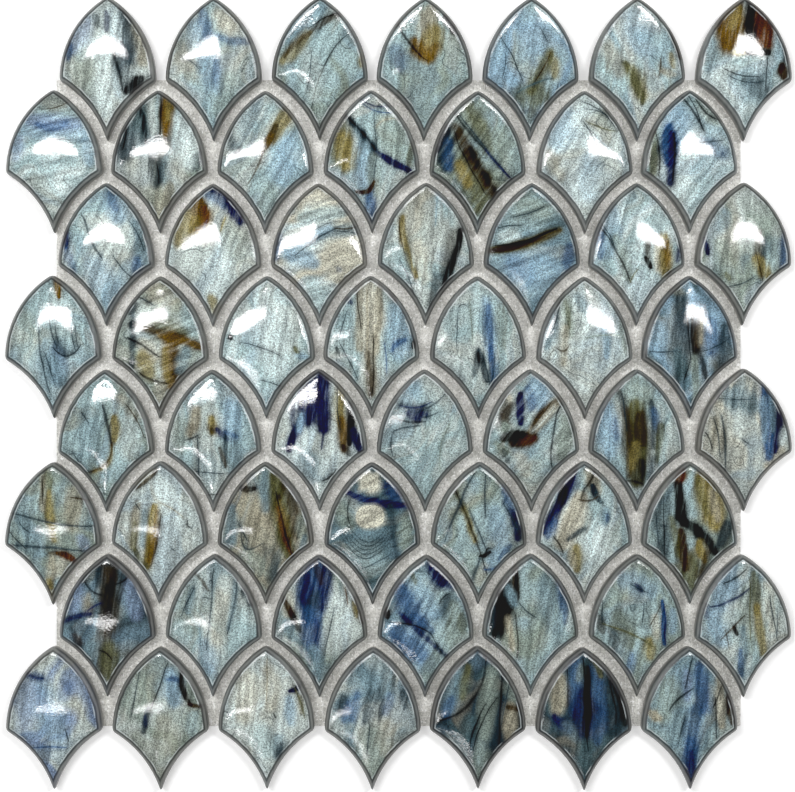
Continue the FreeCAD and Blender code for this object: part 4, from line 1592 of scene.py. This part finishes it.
slab("umber", 14.5, 16, 16, 6, 0, 1.2)
plume("honey", 13, 14, 14, 8, 0, 0.7, 0.7)
plume("teal", -7, -2, -3, -8, 0, 1.4, 0.6)
thread("rust", 10, 19, 11, 13, 0, 0.4)
thread("slate", 6, 12, 2, -6, 0, 0.5)
pour(7, 4, "aqua", "steel", 62)
plume("sky", -5, 22, 2, 10, 0, 3.0, 0.7)
plume("denim", -10, 19, -3, 5, 0.3, 3.0, 0.85)
slab("navy", 3, 27, 9, 21, 0, 3.2)
slab("sky", -12, 3, 0, -9, 0.6, 4.0, 0.9)
plume("denim", -11, 3, -1, -7, 0.4, 2.8, 0.75)
plume("denim", -12, 1, -6, -7, 0, 1.4, 0.6)
plume("navy", -10, 10, 8, -6, -0.3, 0.9, 0.9)
plume("denim", -5, 9, 2, 3, 0, 1.4, 0.7)
plume("slate", 8, 16, 8, 6, 0, 1.6, 0.75)
plume("sage", 11, 12, 10, -2, 0, 2.4, 0.7)
slab("bark", -15, 11, -14.5, 8, 0, 0.9)
plume("olive", 13, 9, 14, 3, 0, 1.2, 0.5)
plume("sage", 3, -6, 1, -15, 0, 2.2, 0.6)
plume("olive", -5, 24, -4, 21, 0, 0.8, 0.7)
thread("ink", 5, 13, 9, 17, 0.5, 0.6)
thread("ink", -14, 6, 2, 2, 1.6, 0.6)
thread("slate", 2, 2, 9, -8, -0.5, 0.7)
pour(7, 5, "aqua", "sage", 80, 0.35)
plume("steel", 6, 22, 9, 4, 0, 3.6, 0.7)
plume("denim", 11, 21, 13, 6, 0.3, 1.4, 0.75)
plume("frost", 15, 9, 14, 3, 0, 0.9, 0.7)
slab("bark", -9, 20, -13, 2, 0.5, 2.9)
plume("ink", -11, 14, -13, 1, 0, 2.4)
plume("slate", -14, 12, -15, 4, 0, 1.2, 0.7)
slab("umber", -6, 27, -5.5, 15, 0, 1.0)
plume("bark", -6, 24, -5, 16, 0, 0.7, 0.8)
slab("steel", -8.5, 19, -6.5, 13, 0.3, 1.1)
plume("taupe", -8.5, 7, -7, -4, 0, 1.2, 0.9)
plume("sage", 2, 6, 1, -10, 0, 3.0, 0.5)
thread("bark", -6, 9, -5, -7, 0.3, 0.7)
thread("slate", -5, 14, 2, 8, -0.6, 0.5)
pour(7, 6, "aqua", "sage", 80)
plume("sky", -6, 22, 5, 18, 0, 3.0, 0.6)
plume("navy", -1, 20, 1, 18, 0, 0.7, 0.85)
plume("umber", -15, 9, -13, 3, 0, 1.5, 0.7)
plume("olive", -8, 9, -4, -2, 0, 2.6, 0.45)
plume("honey", 4, -1, 5, -7, 0, 1.6, 0.9)
plume("cream", 6, 8, 7, 1, 0, 1.4, 0.6)
plume("sky", 13, 10, 13, 3, 0, 1.4, 0.7)
slab("denim", 9, 14, 10, -2, 0, 0.7)
plume("slate", -9, 3, -9, -6, 0, 1.2, 0.75)
plume("denim", -2, -6, -3, -13, 0, 1.2, 0.8)
thread("slate", -3, 20, 4, 17, 0, 0.5)
thread("olive", -13, 6, 6, -3, 0.4, 0.8)
thread("navy", 9.5, 13, 10.5, -3, 0, 0.6)
thread("slate", -13, 14, -13, 6, 0, 0.6)
thread("slate", 2, 14, 1, 4, 0, 0.5)
thread("umber", 8, 12, 4, 4, 0, 0.4)
pour(7, 7, "aqua", "silver", 80)
plume("sky", -6, 26, -9, 13, 0, 3.4, 0.85)
plume("sky", -12, 9, -8, -1, 0, 2.6, 0.75)
plume("sage", 1, 18, 1, -4, 0, 2.4, 0.7)
plume("olive", 4, 24, 5, 10, 0, 1.4, 0.8)
plume("honey", 5, 12, 7, -6, 0, 1.5, 0.85)
plume("cream", 9, 20, 11, 4, 0, 2.0, 0.6)
plume("steel", -1, 4, -1, -14, 0, 1.4, 0.8)
plume("denim", -2, -4, -1, -14, 0, 0.8, 0.7)
plume("navy", -14, 13, -14, 8, 0, 0.8, 0.7)
slab("bark", -4, 5, -3, 2, 0, 0.6)
thread("ink", -8, 21, 1, 26, -0.6, 0.7)
thread("navy", -13, 12, 2, 19, -1.4, 0.9)
thread("umber", -9, 0, 0, 9, 0, 0.6)
thread("slate", 10, 16, 12, 2, 0, 0.6)
thread("slate", 13, 10, 12, 0, 0, 0.5)
thread("umber", -7, 4, -6, -4, 0, 0.4)
thread("olive", 2, 22, 2, 0, 0, 0.5)
tally()

# %% [markdown]
# ## The eighth row
# The fifth and sixth scales are poured from teal and slate, and the others in the row are lighter.
# On a dark ground the threads are still laid last, so that they stay in front of the plumes.

# %% Row 8
pour(8, 1, "silver", "lilac", 80)
plume("sky", -4, 16, 2, -2, 0, 4.0, 0.6)
plume("lilac", -9, 16, -10, 4, 0, 3.4, 0.6)
plume("denim", -9, 21, -4, 20, 0, 1.4, 0.7)
plume("denim", -5, -6, -3, -10, 0, 2.4, 0.5)
plume("taupe", 8, 12, 10, 6, 0, 2.0, 0.4)
plume("denim", 4, 22, 6, 15, 0, 1.4, 0.4)
thread("navy", -10, 22, -3, 20, -0.8, 1.2)
thread("denim", -9, -7, 5, -6, 0.5, 0.7)
thread("slate", 5, 1, 6, -4, 0, 0.5)
pour(8, 2, "silver", "sage", 80)
plume("sage", -9, 20, -9, 8, 0, 3.6, 0.7)
plume("sky", 4, 22, 6, 12, 0, 2.4, 0.8)
plume("denim", 3, 20, 8, 19, 0.8, 0.8, 0.8)
plume("aqua", 13, 6, 13, -1, 0, 2.0, 0.7)
plume("taupe", 2, 4, 4, -6, 0, 3.4, 0.45)
slab("sage", 12, 19, 13, 12, 0, 1.6)
slab("bark", 8.5, 22, 11, 11, -0.8, 0.8)
slab("umber", 11, 10.5, 16, 9.5, -0.3, 0.6)
plume("slate", -4, 9, -6, 0, 0, 0.9, 0.85)
plume("navy", -5, 6, -5, 2, 0, 0.6, 0.6)
thread("ink", 3, 26, -3, 8, 0, 0.5)
thread("slate", -8, 22, -10, 6, 0, 0.4)
pour(8, 3, "silver", "frost", 82)
plume("cream", -7, 20, -8, 6, 0, 3.4, 0.7)
plume("cream", 1, 22, 2, 10, 0, 2.4, 0.6)
plume("steel", 5, -3, 4, -9, 0, 2.0, 0.8)
plume("sky", 9, 12, 10, 3, 0, 1.6, 0.7)
plume("slate", 6, -5, 4, -9, 0, 1.1, 0.9)
plume("aqua", -2, 1, 0, -8, 0, 3.0, 0.6)
plume("taupe", 13, 13, 14, 7, 0, 0.9, 0.7)
slab("navy", 9, 15, 13, 17, -0.5, 0.7)
thread("taupe", 1, 27, 0, 10, 0, 0.5)
thread("olive", 11, 16, 15, 5, 0.4, 0.8)
thread("ink", 3, 7, 4, 5, 0, 0.5)
pour(8, 4, "silver", "steel", 76)
plume("steel", -7, 20, 5, 16, 0, 4.6, 0.7)
plume("slate", -11, 13, -12, 7, 0, 1.4, 0.8)
plume("denim", -6, 14, -8, 5, 0, 1.8, 0.7)
plume("slate", -1, 15, -3, 4, 0, 1.4, 0.7)
plume("slate", 2, 17, 1, 11, 0, 1.0, 0.7)
plume("denim", 6, 14, 5, 7, 0, 1.4, 0.6)
plume("slate", 11, 15, 12, 9, 0, 1.2, 0.8)
plume("denim", -9, 11, -11, 4, 0, 1.1, 0.6)
plume("slate", 4, 12, 3, 5, 0, 0.8, 0.7)
plume("slate", 8, 21, 7, 15, 0, 0.8, 0.6)
plume("sage", 0, -2, 0, -14, 0, 4.5, 0.8)
plume("taupe", 6, 2, 5, -8, 0, 2.6, 0.5)
thread("slate", -1, 3, -2, -9, 0, 0.5)
pour(8, 5, "teal", "slate", 74)
plume("steel", -8, 22, -11, 9, 0, 3.0, 0.75)
plume("olive", -4, 24, -6, 13, 0, 1.4, 0.8)
plume("denim", -10, 12, -12, 6, 0, 1.6, 0.6)
plume("sage", 5, 22, 2, -2, 0, 2.4, 0.75)
plume("sage", 12, 20, 13, 12, 0, 1.8, 0.75)
plume("teal", -3, 4, -5, -6, 0, 2.6, 0.8)
slab("taupe", 12, 9, 12, -2, 0, 2.0, 0.9)
plume("umber", 11, 9, 15, 8, 0, 0.8, 0.9)
plume("sage", 1, -6, 1, -17, 0, 2.4, 0.7)
thread("ink", 3, 29, -16, 3, 6.0, 1.2)
thread("ink", 9, 25, 8, -5, 0, 0.8)
thread("ink", 3, 10, -4, -10, -1.2, 0.7)
thread("ink", 7, 12, -2, -8, -1.4, 0.5)
thread("slate", 12, 21, 9, 2, 0, 0.5)
thread("frost", -12, -1, -4, -9, 0, 0.4, 0.6)
pour(8, 6, "teal", "slate", 86)
slab("taupe", -9, 20, -10, 9, 0.3, 2.6, 0.9)
slab("slate", 9, 20, 11, 2, 0, 4.0, 0.9)
slab("bark", 14, 16, 15.5, 3, 0.3, 1.3, 0.9)
plume("denim", -3, 27, -3, 8, 0, 2.0, 0.7)
plume("denim", 4, 24, 6, 8, 0, 1.8, 0.7)
slab("navy", 0, 14, 0, 0, 0, 3.6, 0.8)
plume("ink", 1, 24, 1, -6, 0, 1.3, 0.85)
plume("denim", 6, 6, 5, -3, 0, 2.0, 0.6)
plume("navy", -11, 6, -6, 1, 0, 1.5)
plume("steel", -7, 3, -4, -2, 0, 1.5, 0.5)
plume("teal", 0, -5, 0, -17, 0, 3.0, 0.8)
plume("sage", -1, 25, -2, 20, 0, 1.0, 0.5)
plume("olive", 4, 28, 6, 21, 0, 0.9, 0.85)
thread("ink", 0, 28, 1, -7, 0, 0.8)
thread("bark", 7, 27, 14, 5, 0.8, 0.7)
thread("bark", 9, 20, 12, 3, 0.5, 0.6)
thread("ink", -6, 24, -6, 10, 0, 0.5)
pour(8, 7, "aqua", "steel", 80)
plume("sage", -8, 18, -10, 6, 0, 3.4, 0.7)
plume("steel", -4, 6, -5, -6, 0, 3.0, 0.7)
plume("denim", 4, 24, 5, 8, 0, 2.2, 0.85)
plume("lilac", -1, 22, -1, 12, 0, 1.2, 0.7)
plume("denim", 2, 8, 0, -6, 0, 2.6, 0.7)
plume("denim", 0, -4, 0, -20, 0, 2.4)
plume("navy", 0, -8, 0, -20, 0, 1.4, 0.9)
plume("taupe", 11, 20, 12, 2, 0, 1.5, 0.85)
plume("cream", 10, 14, 11, 4, 0, 0.9, 0.6)
slab("umber", 14.5, 13, 16, 3, 0, 1.1)
slab("taupe", -15, 7, -12, 5, 0, 1.4)
thread("ink", -8, 8, 1, 16, 0.6, 0.8)
thread("ink", 1, 27, -2, 16, 0, 0.7)
thread("ink", 9, 13, 10, -3, 0, 0.7)
thread("ink", 8, 9, 12, 17, 0, 0.6)
thread("slate", -2, 6, -5, -5, 0, 0.6)
tally()

# %% [markdown]
# ## The finish of the net
# Dried white glue is pale and a little warm, with thin smears, grey grit, bright specks and a dull gloss.
# The yarns are the same glue over white glass fibre, so they are only a shade lighter.
# One function makes both finishes, which keeps the film and its yarns alike.

# %% Net materials
GRIT_GREY = mixed(146, 146, 140)
SPECK_WHITE = mixed(254, 254, 252)
GLUE_DEPTH = 0.0002


def net_finish(name, pale, dull):
    """Dried glue over glass yarn."""
    finish, tree, shader = new_finish(name)
    shader.inputs["Roughness"].default_value = 0.42
    millimetres = tree.nodes.new("ShaderNodeMapping")
    millimetres.inputs["Scale"].default_value = (MM, MM, MM)
    feed(tree, millimetres.inputs["Vector"], tree.nodes.new("ShaderNodeTexCoord").outputs["Object"])
    place = millimetres.outputs["Vector"]
    smear = fade(tree, cloud(tree, place, 0.22, 3.0, 1.0, 0.6).outputs["Fac"], 0.35, 0.65)
    coat = blend(tree, smear, pale, dull)
    grit = fade(tree, cloud(tree, place, 1.3, 2.0, 9.0, 0.7).outputs["Fac"], 0.30, 0.58, 0.55, 0.0)
    coat = blend(tree, grit, coat, GRIT_GREY)
    specks = fade(tree, cloud(tree, place, 0.9, 1.0, 5.0).outputs["Fac"], 0.64, 0.72)
    coat = blend(tree, specks, coat, SPECK_WHITE)
    feed(tree, shader.inputs["Base Color"], coat)
    emboss(tree, shader, cloud(tree, place, 0.8, 3.0, 2.0).outputs["Fac"], GLUE_DEPTH)
    return finish


film.data.materials.append(net_finish("glue_finish", mixed(240, 239, 234), mixed(212, 211, 205)))
yarn_finish = net_finish("yarn_finish", mixed(250, 250, 246), mixed(236, 237, 230))
for yarn in (warp, weft):
    yarn.data.materials.append(yarn_finish)
print("net finished with", len(yarn_finish.node_tree.nodes), "nodes")

# %% [markdown]
# ## The floor
# The sheet lies on a plain white table, photographed from straight above.
# The table is matt white and takes the soft shadow under the glass.
# A little glow, which shows only in the picture and in reflections, brings it to the white of studio paper.

# %% White table
TABLE_SIZE = 8
TABLE_GLOW = 0.10

bpy.ops.object.select_all(action="DESELECT")
bpy.ops.mesh.primitive_plane_add(size=TABLE_SIZE, location=(0, 0, cad_box[0].z))
floor = bpy.context.object
floor.name = "white_table"
paper, tree, shader = new_finish("matt_white")
shader.inputs["Base Color"].default_value = (1, 1, 1, 1)
shader.inputs["Roughness"].default_value = 0.9
shader.inputs["Specular IOR Level"].default_value = 0.1
shader.inputs["Emission Color"].default_value = (1, 1, 1, 1)
ray = tree.nodes.new("ShaderNodeLightPath").outputs
seen = calc(tree, "ADD", ray["Is Camera Ray"], ray["Is Glossy Ray"])
seen = calc(tree, "ADD", seen, ray["Is Transmission Ray"])
feed(tree, shader.inputs["Emission Strength"], calc(tree, "MULTIPLY", seen, TABLE_GLOW))
floor.data.materials.append(paper)
print("table at", round(floor.location.z, 4))

# %% [markdown]
# ## The camera
# The photograph looks straight down, and the frame is almost exactly as wide as the sheet.
# The lens could be set by eye, but it follows from the height and from the width that fits in the picture.
# The height is counted from a level just below the tops of the scales.

# %% Camera straight above
PICTURE_WIDTH = 0.2986
CAMERA_HEIGHT = 0.70
CAMERA_PLACE = (-0.0004, -0.0007)
SENSOR_WIDTH = 36
BELOW_TOPS = 0.001

face_level = GLASS_TOP - BELOW_TOPS
bpy.ops.object.camera_add(location=(*CAMERA_PLACE, face_level + CAMERA_HEIGHT), rotation=(0, 0, 0))
camera = bpy.context.object
camera.data.sensor_width = SENSOR_WIDTH
camera.data.lens = SENSOR_WIDTH * CAMERA_HEIGHT / PICTURE_WIDTH
bpy.context.scene.camera = camera
print("lens", round(camera.data.lens, 1), "mm")

# %% [markdown]
# ## The light
# Soft white light from all sides gives the colours, and four long panels give the glare on the glass.
# A panel shows in a scale where the surface tilts halfway between the camera and that panel.
# The sky is brighter low down than overhead, so that the faces reflect little of it and keep their colour.

# %% Panels and sky
def panel(name, place, size, watts):
    """One rectangular light that faces straight down."""
    bpy.ops.object.light_add(type="AREA", location=place)
    lamp = bpy.context.object
    lamp.name = name
    lamp.data.shape = "RECTANGLE"
    lamp.data.size, lamp.data.size_y = size
    lamp.data.energy = watts
    lamp.visible_camera = False
    print(name, watts, "W")


panel("north_strip", (-0.41, 0.26, 0.95), (0.50, 0.09), 5.4)
panel("north_east_strip", (0.48, 0.27, 0.95), (0.38, 0.11), 4.4)
panel("south_strip", (-0.45, -0.25, 0.95), (0.34, 0.04), 1.0)
panel("far_south_strip", (-0.35, -0.60, 0.90), (0.40, 0.025), 0.5)

SKY_LOW = 0.88
SKY_OVERHEAD = 0.26

world = bpy.data.worlds.new("white_room")
bpy.context.scene.world = world
world.use_nodes = True
sky = world.node_tree
compass = sky.nodes.new("ShaderNodeSeparateXYZ")
feed(sky, compass.inputs[0], sky.nodes.new("ShaderNodeTexCoord").outputs["Generated"])
background = sky.nodes["Background"]
background.inputs["Color"].default_value = (1, 1, 1, 1)
strength = fade(sky, compass.outputs["Z"], 0.15, 0.65, SKY_LOW, SKY_OVERHEAD)
feed(sky, background.inputs["Strength"], strength)
bpy.context.scene.view_settings.view_transform = "Standard"
print("world ready")
